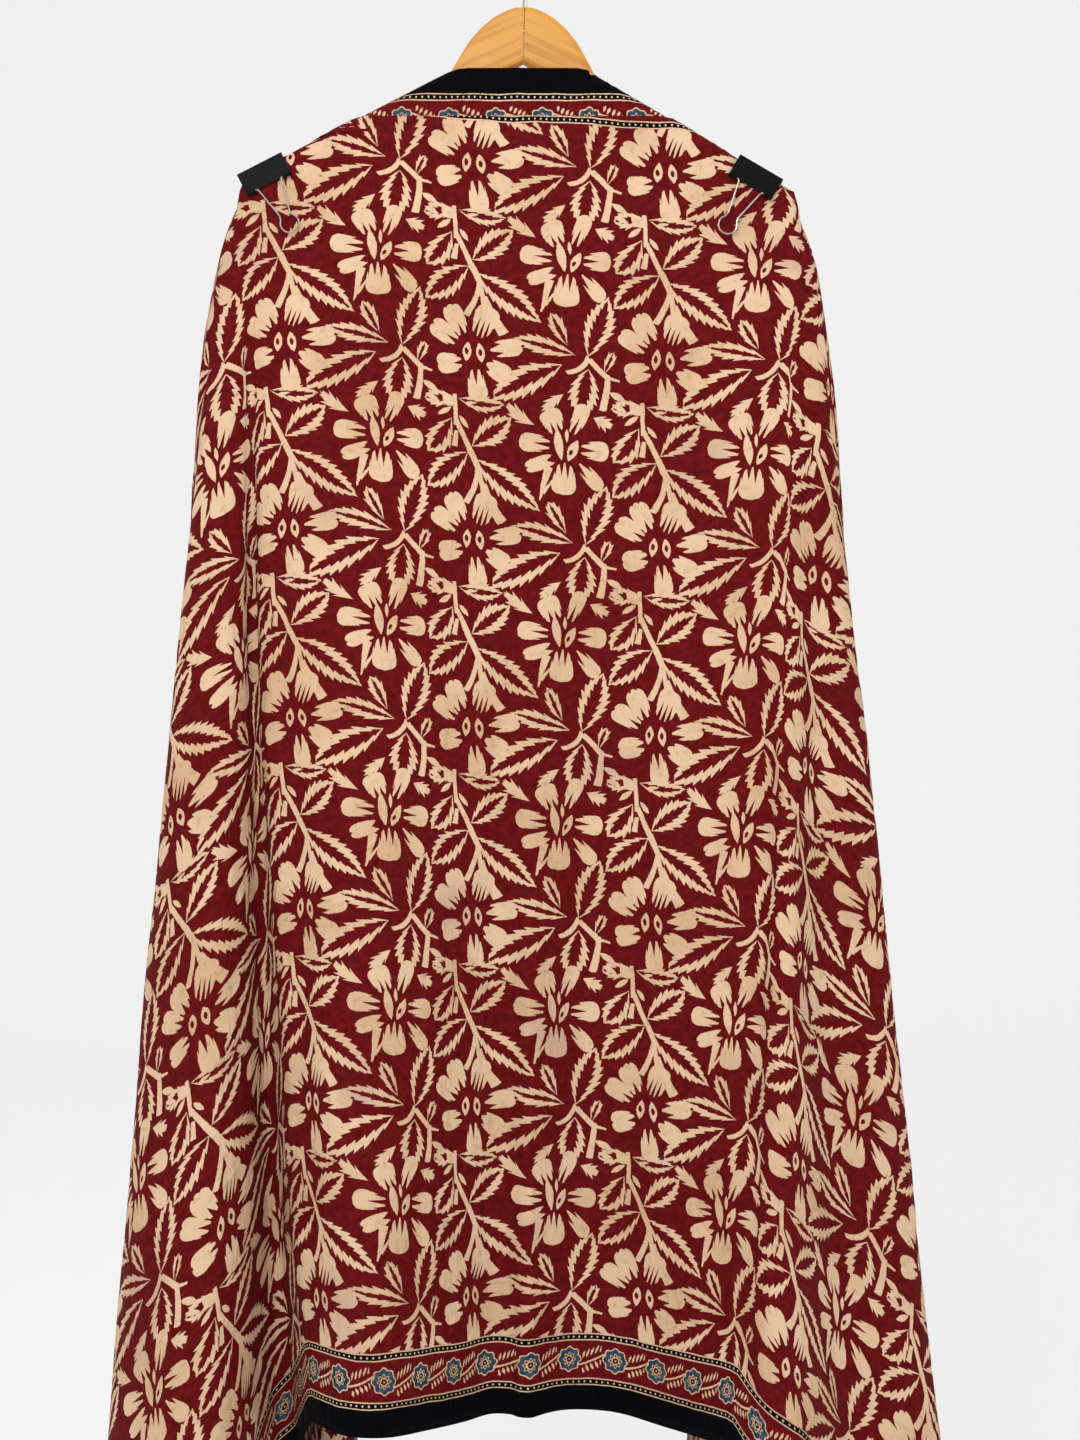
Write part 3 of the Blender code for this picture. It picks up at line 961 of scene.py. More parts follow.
    def dot(self, vector: object, axis: tuple) -> Socket:
        """How far a vector goes along an axis.

        Args:
            vector: the vector.
            axis: the axis.

        Returns:
            The distance, in the axis's own length.
        """
        made = self.node("ShaderNodeVectorMath", operation="DOT_PRODUCT")
        self.plug(made.inputs[0], vector)
        self.plug(made.inputs[1], axis)
        return made.outputs["Value"]

    def bent(self, u: object, v: object, rise: float) -> Socket:
        """The distance across from a midline that bows.

        Args:
            u: how far along, from 0 to 1.
            v: how far across, in mm.
            rise: how far the midline bows, in mm.

        Returns:
            The distance, in mm.
        """
        if rise:
            hump = self.math("MULTIPLY", u, self.math("SUBTRACT", 1.0, u))
            v = self.math("MULTIPLY_ADD", hump, 4.0 * rise, v)
        return self.math("ABSOLUTE", v)

    def outline(self, value: object, points: list[Place]) -> Socket:
        """A line through points, level past its ends.

        Args:
            value: where it is read.
            points: the line's points.

        Returns:
            The line's height there.
        """
        made = self.node("ShaderNodeFloatCurve")
        made.mapping.use_clip = False
        line = made.mapping.curves[0]
        while len(line.points) < len(points):
            line.points.new(0.5, 0.5)
        for knot, place in zip(line.points, points):
            knot.location = place
            knot.handle_type = "VECTOR"
        made.mapping.update()
        self.plug(made.inputs["Value"], value)
        return made.outputs[0]


def new_finish(name: str) -> tuple[Finish, Draft, bpy.types.Node]:
    """Starts a finish.

    Args:
        name: the material's name.

    Returns:
        The material, the sheet that its nodes go on, and its shader.
    """
    made = bpy.data.materials.new(name)
    made.use_nodes = True
    return made, Draft(made.node_tree), made.node_tree.nodes["Principled BSDF"]


OUTSIDE = -3.0


@dataclass(frozen=True)
class Shape:
    """A shape of the print, in mm from its motif's centre: where it starts and ends, and how broad it is."""

    base: Place
    tip: Place
    half_width: float


@dataclass(frozen=True)
class Leaf(Shape):
    """A serrated leaf, and how it is cut."""

    teeth: float = 6.0
    cut: float = 0.26
    bend: float = 0.0
    hollow: float = 0.0
    lean: float = 0.9
    rim: float = 0.10

    def swell(self, u: float) -> float:
        """Half the leaf's width at a share of its length, before its teeth are cut."""
        return self.half_width * u * (1.0 - u) * (6.0 - 3.2 * u)

    def sawtooth(self, low: float, high: float, less: float = 0.0) -> list[Place]:
        """The leaf's edge: each tooth swings out towards the tip and drops back.

        Args:
            low: a tooth's share of the leaf's width where it starts.
            high: its share where it ends.
            less: how far the edge is drawn in, in mm.

        Returns:
            Points of the edge: a share of the length, and half the width there.
        """
        edge = [(-0.02, OUTSIDE), (0.0, -less)]
        for tooth in range(math.ceil(self.teeth)):
            start, end = tooth / self.teeth, min((tooth + 1) / self.teeth, 1.0)
            edge.append((start + 0.004, self.swell(start) * low - less))
            reach = low + (high - low) * (end - start) * self.teeth
            edge.append((end - 0.004, self.swell(end) * reach - less))
        return edge + [(1.0, -less), (1.02, OUTSIDE)]

    def draw(self, draft: Draft, point: object) -> Socket:
        """How far a point is inside the leaf.

        Args:
            draft: the sheet that the pattern is drawn on.
            point: a place of the motif, in mm from its centre.

        Returns:
            The distance inside, below 0 outside.
        """
        u, v = draft.local(point, self.base, self.tip)
        across = draft.bent(u, v, self.bend * self.half_width)
        leaning = draft.math("MULTIPLY_ADD", across, -self.lean / (self.teeth * self.half_width), u)
        edge = draft.outline(leaning, self.sawtooth(1.0 - self.cut, 1.0))
        inside = draft.math("SUBTRACT", edge, across)
        if self.hollow:
            less = self.rim * self.half_width
            heart = draft.outline(leaning, self.sawtooth(0.62 * self.hollow, self.hollow, less))
            inside = draft.math("MINIMUM", inside, draft.math("SUBTRACT", across, heart))
        return inside


@dataclass(frozen=True)
class Petal(Shape):
    """A round petal whose foot is cut into a fringe, and whose tip may be lobed."""

    slits: int = 3
    reach: float = 0.5
    lobes: int = 0
    aspect: float = 1.6

    def side(self, u: float) -> float:
        """Half the petal's width at a share of its length."""
        blunt = 0.30 if self.lobes else 0.44
        return self.half_width * math.sqrt(1.0 - abs(2.0 * u - 1.0) ** 3.4) * (blunt * u + 1.16 - blunt)

    def fringe(self) -> list[Place]:
        """The foot's edge: a point of the ground's colour rises between each two fingers.

        Returns:
            Points of the edge, across the petal and along it, in mm.
        """
        edge = []
        for slit in range(self.slits):
            middle = (2 * slit + 1) / self.slits - 1.0
            deep = self.reach * (1.0 - 0.3 * abs(middle)) * (0.9 + 0.2 * (slit % 2))
            edge.append((middle - 1.0 / self.slits, 0.12))
            edge.append((middle, -deep))
        edge.append((1.0, 0.12))
        return [(x * self.half_width, y * self.half_width * self.aspect) for x, y in edge]

    def scallop(self) -> list[Place]:
        """The lobed tip's edge.

        Returns:
            Points of the edge, across the petal and along it, in mm.
        """
        steps = 6 * self.lobes
        edge = []
        for step in range(steps + 1):
            x = 2.0 * step / steps - 1.0
            round_tip = math.sqrt(max(1.0 - 0.8 * x * x, 0.0))
            lobe = abs(math.sin(math.pi * step / 6))
            edge.append((x * self.half_width, 0.78 + 0.17 * round_tip + 0.09 * lobe))
        return [(x, y * self.half_width * self.aspect) for x, y in edge]

    def draw(self, draft: Draft, point: object) -> Socket:
        """How far a point is inside the petal.

        Args:
            draft: the sheet that the pattern is drawn on.
            point: a place of the motif, in mm from its centre.

        Returns:
            The distance inside, below 0 outside.
        """
        u, v = draft.local(point, self.base, self.tip)
        sides = [(step / 20, self.side(step / 20)) for step in range(21)]
        edge = draft.outline(u, [(-0.03, OUTSIDE), *sides, (1.03, OUTSIDE)])
        inside = draft.math("SUBTRACT", edge, draft.math("ABSOLUTE", v))
        scale = self.half_width * self.aspect
        if self.slits:
            foot = draft.math("MULTIPLY_ADD", u, scale, draft.outline(v, self.fringe()))
            inside = draft.math("MINIMUM", inside, foot)
        if self.lobes:
            head = draft.math("MULTIPLY_ADD", u, -scale, draft.outline(v, self.scallop()))
            inside = draft.math("MINIMUM", inside, head)
        return inside


@dataclass(frozen=True)
class Seed(Shape):
    """An almond, or with its colour turned round a slit or a dot."""

    def draw(self, draft: Draft, point: object) -> Socket:
        """How far a point is inside the seed.

        Args:
            draft: the sheet that the pattern is drawn on.
            point: a place of the motif, in mm from its centre.

        Returns:
            The distance inside, below 0 outside.
        """
        u, v = draft.local(point, self.base, self.tip)
        sides = [(step / 12, self.half_width * math.sin(math.pi * step / 12) ** 0.8) for step in range(13)]
        edge = draft.outline(u, [(-0.05, OUTSIDE), *sides, (1.05, OUTSIDE)])
        return draft.math("SUBTRACT", edge, draft.math("ABSOLUTE", v))


@dataclass(frozen=True)
class Stem(Shape):
    """A bent stroke that tapers or spreads from its base to its tip."""

    spread: float = -0.4
    bend: float = 0.0

    def draw(self, draft: Draft, point: object) -> Socket:
        """How far a point is inside the stroke.

        Args:
            draft: the sheet that the pattern is drawn on.
            point: a place of the motif, in mm from its centre.

        Returns:
            The distance inside, below 0 outside.
        """
        u, v = draft.local(point, self.base, self.tip)
        across = draft.bent(u, v, self.bend * self.half_width)
        end = self.half_width * (1.0 + self.spread)
        edge = draft.outline(u, [(-0.03, OUTSIDE), (0.0, self.half_width), (1.0, end), (1.03, OUTSIDE)])
        return draft.math("SUBTRACT", edge, across)


FLOWER = (
    Petal((-6.5, -12.0), (-16.0, -32.0), 10.0, slits=4),
    Petal((5.0, -12.0), (16.0, -38.0), 7.0),
    Petal((12.0, -0.5), (36.5, 0.0), 8.5),
    Petal((12.0, 11.0), (30.5, 32.0), 6.6, slits=2),
    Petal((-0.5, 11.0), (-1.5, 38.5), 11.0, slits=4),
    Petal((-8.0, 8.0), (-34.0, 17.5), 5.8, slits=1, reach=0.3, lobes=2),
    Petal((-12.0, -2.0), (-40.0, -5.0), 8.0),
    Seed((-8.0, -17.0), (-3.0, 10.0), 4.2),
    Seed((2.0, 10.0), (10.5, -8.0), 4.2),
    Seed((1.0, -17.0), (1.6, -4.5), 2.0),
    Leaf((22.5, -27.0), (39.0, -20.0), 6.5, teeth=3.5, cut=0.5),
    Leaf((-26.0, -18.0), (-51.0, -36.0), 6.0, teeth=3.5, cut=0.45, bend=0.25),
    Stem((-15.0, 16.0), (-21.5, 43.0), 4.2, spread=-0.75),
    Stem((-19.0, 37.0), (-11.0, 27.0), 2.0),
)
FLOWER_DOTS = (Seed((3.5, 4.6), (6.0, 0.4), 1.0),)
EYED_FLOWER = (
    Petal((-8.0, -13.0), (-20.5, -37.0), 8.6, slits=3, reach=0.35, lobes=3),
    Petal((5.5, -12.0), (15.0, -38.0), 10.5, slits=5, reach=0.6),
    Petal((15.0, -2.0), (42.5, -6.0), 7.6, slits=2, reach=0.4, lobes=2),
    Petal((12.0, 9.0), (32.0, 21.0), 8.0, slits=2, reach=0.25, lobes=3),
    Petal((2.0, 13.5), (6.0, 41.0), 8.5, slits=3, reach=0.45),
    Petal((-9.0, 9.0), (-31.0, 13.5), 8.6, slits=3, reach=0.3, lobes=2),
    Petal((-13.0, -7.0), (-36.0, -20.5), 8.0, slits=3, reach=0.35, lobes=2),
    Seed((-7.0, 43.5), (5.0, 42.5), 1.7),
    Seed((-4.0, -8.5), (-6.0, 8.5), 4.0),
    Seed((5.0, -8.0), (8.2, 9.0), 4.2),
)
EYED_FLOWER_DOTS = (
    Seed((-5.6, -3.2), (-5.2, 2.6), 1.2),
    Seed((6.0, -2.6), (7.0, 3.2), 1.3),
)
LEAFY_STEM = (
    Leaf((-1.0, 2.0), (-39.0, 33.5), 11.5, teeth=7.0, hollow=0.58, bend=-0.12),
    Leaf((1.0, -3.0), (36.0, -30.0), 11.0, teeth=7.0, hollow=0.46),
    Leaf((3.0, 7.0), (61.0, 48.5), 11.0, teeth=10.0, hollow=0.48, bend=0.10),
    Leaf((-16.0, -26.0), (-38.0, 4.5), 10.5, teeth=5.0, hollow=0.52, bend=0.2),
    Leaf((-11.0, -43.0), (31.0, -39.5), 7.0, teeth=6.0, hollow=0.42, bend=-0.35),
    Leaf((-14.0, -43.0), (-40.0, -40.0), 7.5, teeth=4.5, hollow=0.46),
    Stem((-14.0, -46.0), (-12.5, -20.0), 2.2, spread=0.0),
    Stem((-13.0, -25.0), (1.5, 3.0), 2.3, spread=0.2),
    Stem((0.0, 0.0), (9.0, 17.0), 3.0, spread=0.0),
    Stem((7.0, 15.0), (-3.5, 43.0), 2.3, spread=0.4, bend=0.8),
    Stem((8.0, 17.0), (13.0, 42.0), 2.4, spread=0.1),
    Stem((12.0, 27.0), (28.0, 57.0), 2.4, spread=1.0, bend=-0.5),
    Seed((-16.5, -35.5), (-28.5, -27.0), 2.7),
    Seed((-10.0, -28.0), (-1.4, -17.5), 2.4),
    Stem((-12.0, -15.0), (-14.0, -2.5), 2.0, spread=0.5),
)
LEAF_STAR = (
    Leaf((0.0, -4.0), (17.0, -55.0), 12.0, teeth=8.0, hollow=0.56),
    Leaf((-17.0, -12.0), (-33.0, -40.0), 6.5, teeth=4.0, hollow=0.36),
    Leaf((-10.0, -5.0), (-65.0, -18.5), 7.5, teeth=6.0, hollow=0.36),
    Leaf((-21.0, 3.0), (-85.0, 35.0), 12.0, teeth=8.0, hollow=0.52, bend=-0.1),
    Leaf((0.0, 5.0), (-6.5, 46.0), 12.5, teeth=7.0, hollow=0.56),
    Leaf((13.0, 10.0), (21.0, -10.0), 4.8, teeth=3.0, hollow=0.36),
    Leaf((-20.0, 26.5), (-40.0, 43.0), 5.5, teeth=4.0, cut=0.5),
    Stem((-18.0, 10.0), (0.0, -4.0), 2.3, spread=0.1, bend=-1.5),
    Stem((1.0, -2.0), (16.0, 12.5), 2.6, spread=0.0),
    Stem((16.0, 10.0), (12.5, 39.0), 2.5, spread=0.4, bend=0.5),
    Stem((14.0, 12.0), (26.0, 14.5), 2.0),
    Seed((17.5, 23.5), (31.5, 30.5), 3.1),
    Seed((34.5, 32.0), (45.0, 41.5), 5.0),
    Seed((20.0, 33.5), (32.0, 38.5), 2.6),
)
SPRIG_STEM = Stem((8.0, -5.0), (30.0, 4.5), 0.8, spread=-0.2, bend=1.6)
SPRIG_LEAFLET = Seed((0.0, 3.2), (2.6, 9.6), 0.95)


@dataclass(frozen=True)
class BlockPrint:
    """The cloth's print: a field of flowers and leaves, and a border of blue flowers. Sizes are in mm."""

    cream: Tone = (0.660, 0.462, 0.300, 1.0)
    tan: Tone = (0.450, 0.265, 0.130, 1.0)
    rose: Tone = (0.520, 0.335, 0.235, 1.0)
    madder: Tone = (0.142, 0.0060, 0.0068, 1.0)
    deep_madder: Tone = (0.080, 0.0034, 0.0044, 1.0)
    black: Tone = (0.0014, 0.0014, 0.0024, 1.0)
    indigo: Tone = (0.018, 0.040, 0.062, 1.0)
    pale_indigo: Tone = (0.046, 0.078, 0.100, 1.0)
    tile: Place = (158.0, 155.0)
    flower_at: Place = (38.0, 177.0)
    eyed_flower_at: Place = (117.0, 99.5)
    leafy_stem_at: Place = (-43.0, 182.0)
    leaf_star_at: Place = (56.0, 259.5)
    border_flower_at: float = 55.0
    border_pitch: float = 38.75
    dot_pitch: float = 4.9
    leaflet_pitch: float = 3.7
    flower_row: float = 43.0
    dotted_rows: Place = (24.0, 61.5)
    band_width: float = 21.1
    border_width: float = 64.6
    crease_pitch: Place = (143.75, 282.5)
    drift: float = 3.2
    bleed: float = 1.1
    sprig_slope: float = 0.42

    def motif(self, draft: Draft, point: object, centre: Place, shapes: tuple, dots: tuple = ()) -> Socket:
        """How far a point is inside a motif's nearest repeat.

        Args:
            draft: the sheet that the pattern is drawn on.
            point: a place of the flat cloth, in mm.
            centre: the motif's centre in one repeat.
            shapes: what it is made of.
            dots: what is cut out of it.

        Returns:
            The distance inside, in mm.
        """
        moved = draft.vector("SUBTRACT", point, (centre[0], centre[1], 0.0))
        half = (self.tile[0] / 2, self.tile[1] / 2, 1.0)
        near = draft.vector("WRAP", moved, half, tuple(-side for side in half))
        inside = None
        for shape in shapes:
            drawn = shape.draw(draft, near)
            inside = drawn if inside is None else draft.math("MAXIMUM", inside, drawn)
        for shape in dots:
            inside = draft.math("MINIMUM", inside, draft.math("MULTIPLY", shape.draw(draft, near), -1.0))
        return inside

    def field(self, draft: Draft, point: object, wobble: object, tones: tuple) -> Socket:
        """The field's colour: pale motifs left on the madder ground.

        Args:
            draft: the sheet that the pattern is drawn on.
            point: a place of the flat cloth, in mm.
            wobble: how far the dye has bled there, in mm.
            tones: the pale tone, then the ground's.

        Returns:
            The colour.
        """
        motifs = (
            self.motif(draft, point, self.flower_at, FLOWER, FLOWER_DOTS),
            self.motif(draft, point, self.eyed_flower_at, EYED_FLOWER, EYED_FLOWER_DOTS),
            self.motif(draft, point, self.leafy_stem_at, LEAFY_STEM),
            self.motif(draft, point, self.leaf_star_at, LEAF_STAR),
        )
        inside = motifs[0]
        for drawn in motifs[1:]:
            inside = draft.math("MAXIMUM", inside, drawn)
        inside = draft.math("ADD", inside, wobble)
        return draft.mix(draft.step(inside, 0.22, 0.62), tones[1], tones[0])

    def border(self, draft: Draft, along: object, edge: object, wobble: object, tones: tuple) -> Socket:
        """The border's colour.

        Args:
            draft: the sheet that the pattern is drawn on.
            along: the place along the border, in mm.
            edge: the distance from the cloth's edge, in mm.
            wobble: how far the dye has bled there, in mm.
            tones: the pale tone, the ground's, the black and the blue.

        Returns:
            The colour.
        """
        pale, ground, dark, blue = tones
        x = draft.math("WRAP", draft.math("SUBTRACT", along, self.border_flower_at), self.border_pitch, 0.0)
        flower_x = draft.math("WRAP", x, self.border_pitch / 2, -self.border_pitch / 2)
        y = draft.math("SUBTRACT", edge, self.flower_row)
        sprig = SPRIG_STEM.draw(draft, draft.join(x, y))
        risen = draft.math("MULTIPLY_ADD", x, -self.sprig_slope, draft.math("ADD", y, 8.2))
        beside = draft.math("ABSOLUTE", risen)
        row = draft.math("WRAP", x, self.leaflet_pitch, 0.0)
        leaflet = SPRIG_LEAFLET.draw(draft, draft.join(row, beside))
        among = draft.math("SUBTRACT", 7.6, draft.math("ABSOLUTE", draft.math("SUBTRACT", x, 19.4)))
        sprig = draft.math("MAXIMUM", sprig, draft.math("MINIMUM", leaflet, among))
        colour = draft.mix(draft.step(draft.math("ADD", sprig, wobble), -0.2, 0.2), ground, pale)
        squared = draft.math("MULTIPLY_ADD", y, y, draft.math("MULTIPLY", flower_x, flower_x))
        radius = draft.math("ADD", draft.math("SQRT", squared), wobble)
        lobe = draft.math("COSINE", draft.math("MULTIPLY", draft.math("ARCTAN2", y, flower_x), 8.0))
        rings = (
            (10.2, 0.75, pale),
            (9.2, 0.75, blue),
            (5.1, 0.85, pale),
            (4.3, 0.85, ground),
            (3.3, 0.0, pale),
            (2.4, 0.0, dark),
            (0.7, 0.0, pale),
        )
        for size, lobing, tone in rings:
            outline = draft.math("MULTIPLY_ADD", lobe, lobing, size) if lobing else size
            inside = draft.step(draft.math("SUBTRACT", outline, radius), -0.2, 0.2)
            colour = draft.mix(inside, colour, tone)
        rows = [draft.math("ABSOLUTE", draft.math("SUBTRACT", edge, row)) for row in self.dotted_rows]
        away = draft.math("ADD", draft.math("MINIMUM", *rows), draft.math("MULTIPLY", wobble, 0.6))
        colour = draft.mix(draft.step(away, 3.15, 2.85), colour, pale)
        worn_edge = draft.math("ADD", edge, wobble)
        selvedge = draft.step(worn_edge, self.band_width + 0.2, self.band_width - 0.2)
        band = draft.math("MAXIMUM", draft.step(away, 2.15, 1.85), selvedge)
        colour = draft.mix(band, colour, dark)
        dot_x = draft.math("WRAP", along, self.dot_pitch / 2, -self.dot_pitch / 2)
        squared = draft.math("MULTIPLY_ADD", dot_x, dot_x, draft.math("MULTIPLY", away, away))
        return draft.mix(draft.step(draft.math("SQRT", squared), 0.95, 0.65), colour, pale)

    def chart(self) -> bpy.types.NodeTree:
        """Draws the print and the weave once, for both sides.

        Returns:
            A node group: the colour, the yarn's unevenness, and the relief of the weave and of the crumple.
        """
        tree = bpy.data.node_groups.new("block print", "ShaderNodeTree")
        tree.interface.new_socket("Fading", in_out="INPUT", socket_type="NodeSocketFloat")
        for name in ("Colour", "Grain", "Weave", "Crumple"):
            kind = "NodeSocketColor" if name == "Colour" else "NodeSocketFloat"
            tree.interface.new_socket(name, in_out="OUTPUT", socket_type=kind)
        draft = Draft(tree)
        fading = draft.node("NodeGroupInput").outputs[0]
        result = draft.node("NodeGroupOutput")
        flat = draft.node("ShaderNodeUVMap", uv_map="flat cloth").outputs[0]
        straight = draft.vector("MULTIPLY", flat, (1000.0, 1000.0, 0.0))
        drift = draft.vector("SUBTRACT", draft.noise(straight, 0.035, 1.0, "Color"), (0.5, 0.5, 0.5))
        point = draft.vector("MULTIPLY_ADD", drift, (self.drift, self.drift, 0.0), straight)
        bleed = draft.noise(straight, 0.45, 1.0)
        wobble = draft.math("MULTIPLY_ADD", bleed, self.bleed, -self.bleed / 2)
        thread = draft.noise(draft.vector("MULTIPLY", straight, (0.25, 2.4, 0.0)), 1.0, 1.0)
        slub = draft.noise(draft.vector("MULTIPLY", straight, (2.2, 0.22, 0.0)), 1.0, 1.0)
        grain = draft.math("MULTIPLY", draft.math("ADD", thread, slub), 0.5)
        cloud = draft.noise(straight, 0.012, 1.0)
        worn = draft.noise(straight, 0.16, 2.0)
        age = draft.math("ADD", draft.step(cloud, 0.40, 0.68), draft.step(worn, 0.50, 0.78))
        base = draft.math("ADD", draft.math("MULTIPLY_ADD", grain, 0.8, -0.4), fading)
        pale = draft.mix(draft.math("MULTIPLY_ADD", age, 0.48, base, clamp=True), self.cream, self.tan)
        blush = draft.noise(straight, 0.0095, 1.0)
        pale = draft.mix(draft.step(blush, 0.58, 0.76), pale, self.rose)
        mottle = draft.math("ADD", draft.math("MULTIPLY", worn, 0.9), draft.math("MULTIPLY", grain, 0.5))
        ground = draft.mix(draft.step(mottle, 0.40, 0.95), self.madder, self.deep_madder)
        blue = draft.mix(draft.step(worn, 0.38, 0.66), self.indigo, self.pale_indigo)
        tones = (pale, ground, self.black, blue)
        s, t, _ = draft.split(point)
        from_hem = draft.math("MINIMUM", t, draft.math("SUBTRACT", 1000 * FLAT_WIDTH, t))
        from_end = draft.math("SUBTRACT", 500 * FLAT_LENGTH, draft.math("ABSOLUTE", s))
        at_end = draft.math("LESS_THAN", from_end, from_hem)
        edge = draft.math("MINIMUM", from_hem, from_end)
        along = draft.math("MULTIPLY_ADD", at_end, draft.math("SUBTRACT", t, s), s)
        border = self.border(draft, along, edge, wobble, tones)
        field = self.field(draft, point, wobble, tones)
        colour = draft.mix(draft.step(edge, self.border_width - 0.1, self.border_width + 0.1), border, field)
        drawn = (colour, grain, self.weave(draft, straight, grain), self.crumple(draft, straight))
        for socket, value in zip(result.inputs, drawn):
            draft.plug(socket, value)
        return tree

    def crumple(self, draft: Draft, straight: object) -> Socket:
        """The relief of small wrinkles and of the creases that the cloth was pressed in when stored.

        Args:
            draft: the sheet that the pattern is drawn on.
            straight: a place of the flat cloth, in mm.

        Returns:
            The relief's height, from 0 to about 1.
        """
        wrinkle = draft.noise(draft.vector("MULTIPLY", straight, (0.085, 0.038, 0.0)), 1.0, 2.0)
        half = (self.crease_pitch[0] / 2, self.crease_pitch[1] / 2, 1.0)
        nearest = draft.vector("WRAP", straight, half, tuple(-side for side in half))
        across, down, _ = draft.split(draft.vector("ABSOLUTE", nearest))
        line = draft.step(draft.math("MINIMUM", across, down), 4.0, 0.0)
        return draft.math("MULTIPLY_ADD", line, 0.16, wrinkle)

    def weave(self, draft: Draft, straight: object, grain: object) -> Socket:
        """The relief of a plain weave and its slubs.

        Args:
            draft: the sheet that the pattern is drawn on.
            straight: a place of the flat cloth, in mm.
            grain: the yarn's unevenness there.

        Returns:
            The relief's height, from 0 to about 1.
        """
        warp = draft.node("ShaderNodeTexWave", wave_type="BANDS", bands_direction="X")
        weft = draft.node("ShaderNodeTexWave", wave_type="BANDS", bands_direction="Y")
        for wave in (warp, weft):
            draft.plug(wave.inputs["Vector"], straight)
            wave.inputs["Scale"].default_value = 0.52
        threads = draft.math("MULTIPLY", warp.outputs["Fac"], weft.outputs["Fac"])
        return draft.math("MULTIPLY_ADD", grain, 0.8, draft.math("MULTIPLY", threads, 0.35))

    def finish(self, name: str, chart: bpy.types.NodeTree, strength: float, fading: float) -> Finish:
        """Makes the finish of one side of the cloth.

        Args:
            name: the material's name.
            chart: the print's node group.
            strength: how brightly the dyes show on this side.
            fading: how far the side's pale parts go towards tan.

        Returns:
            The material.
        """
        made, draft, shader = new_finish(name)
        drawn = draft.node("ShaderNodeGroup", node_tree=chart)
        drawn.inputs["Fading"].default_value = fading
        hue = draft.node("ShaderNodeHueSaturation")
        hue.inputs["Value"].default_value = strength
        hue.inputs["Saturation"].default_value = 0.85 + 0.15 * strength
        draft.plug(hue.inputs["Color"], drawn.outputs["Colour"])
        draft.plug(shader.inputs["Base Color"], hue.outputs[0])
        matt = draft.math("MULTIPLY_ADD", drawn.outputs["Grain"], 0.16, 0.66)
        draft.plug(shader.inputs["Roughness"], matt)
        shader.inputs["Specular IOR Level"].default_value = 0.03
        shader.inputs["Sheen Weight"].default_value = 0.010
        shader.inputs["Sheen Roughness"].default_value = 0.45
        woven = draft.relief(drawn.outputs["Weave"], 0.35, 0.00012)
        draft.plug(shader.inputs["Normal"], draft.relief(drawn.outputs["Crumple"], 0.7, 0.0040, woven))
        return made


@dataclass(frozen=True)
class HoneyWood:
    """Light lacquered wood whose grain runs along its arm, so that both halves meet in a chevron."""

    light: Tone = (0.590, 0.262, 0.036, 1.0)
    streak: Tone = (0.430, 0.158, 0.018, 1.0)
    joint: Tone = (0.085, 0.030, 0.010, 1.0)
    roughness: float = 0.36
    coat: float = 0.05
    grain_angle: float = math.radians(24.0)
    streak_scale: Point = (7.0, 60.0, 150.0)
    fibre_scale: Point = (40.0, 500.0, 1400.0)
    joint_half: float = 0.0006

    def finish(self, name: str, sign: int) -> Finish:
        """Makes the wood of one half.

        Args:
            name: the material's name.
            sign: 1 for the right half, -1 for the left.

        Returns:
            The material.
        """
        made, draft, shader = new_finish(name)
        place = draft.node("ShaderNodeTexCoord").outputs["Object"]
        laid = draft.node("ShaderNodeMapping")
        draft.plug(laid.inputs["Vector"], place)
        laid.inputs["Rotation"].default_value = (0.0, -sign * self.grain_angle, 0.0)
        broad = draft.noise(draft.vector("MULTIPLY", laid.outputs[0], self.streak_scale), 1.0, 3.0)
        fibre = draft.noise(draft.vector("MULTIPLY", laid.outputs[0], self.fibre_scale), 1.0, 2.0)
        bands = draft.math("MULTIPLY_ADD", draft.step(broad, 0.42, 0.66), 0.75, -0.12)
        shade = draft.math("MULTIPLY_ADD", fibre, 0.35, bands, clamp=True)
        colour = draft.mix(shade, self.light, self.streak)
        level = draft.node("ShaderNodeMapping")
        draft.plug(level.inputs["Vector"], place)
        level.inputs["Rotation"].default_value = (0.0, -HANGER_TILT, 0.0)
        x, _, _ = draft.split(level.outputs[0])
        beads = draft.noise(draft.vector("MULTIPLY", level.outputs[0], (0.0, 0.0, 900.0)), 1.0, 1.0)
        line = draft.step(draft.math("ABSOLUTE", x), self.joint_half + 0.00015, self.joint_half - 0.00015)
        line = draft.math("MULTIPLY", line, draft.step(beads, 0.46, 0.60))
        draft.plug(shader.inputs["Base Color"], draft.mix(line, colour, self.joint))
        draft.plug(shader.inputs["Roughness"], draft.math("MULTIPLY_ADD", fibre, 0.2, self.roughness - 0.1))
        shader.inputs["Coat Weight"].default_value = self.coat
        shader.inputs["Coat Roughness"].default_value = 0.22
        shader.inputs["Specular IOR Level"].default_value = 0.3
        draft.plug(shader.inputs["Normal"], draft.relief(fibre, 0.25, 0.00015))
        return made


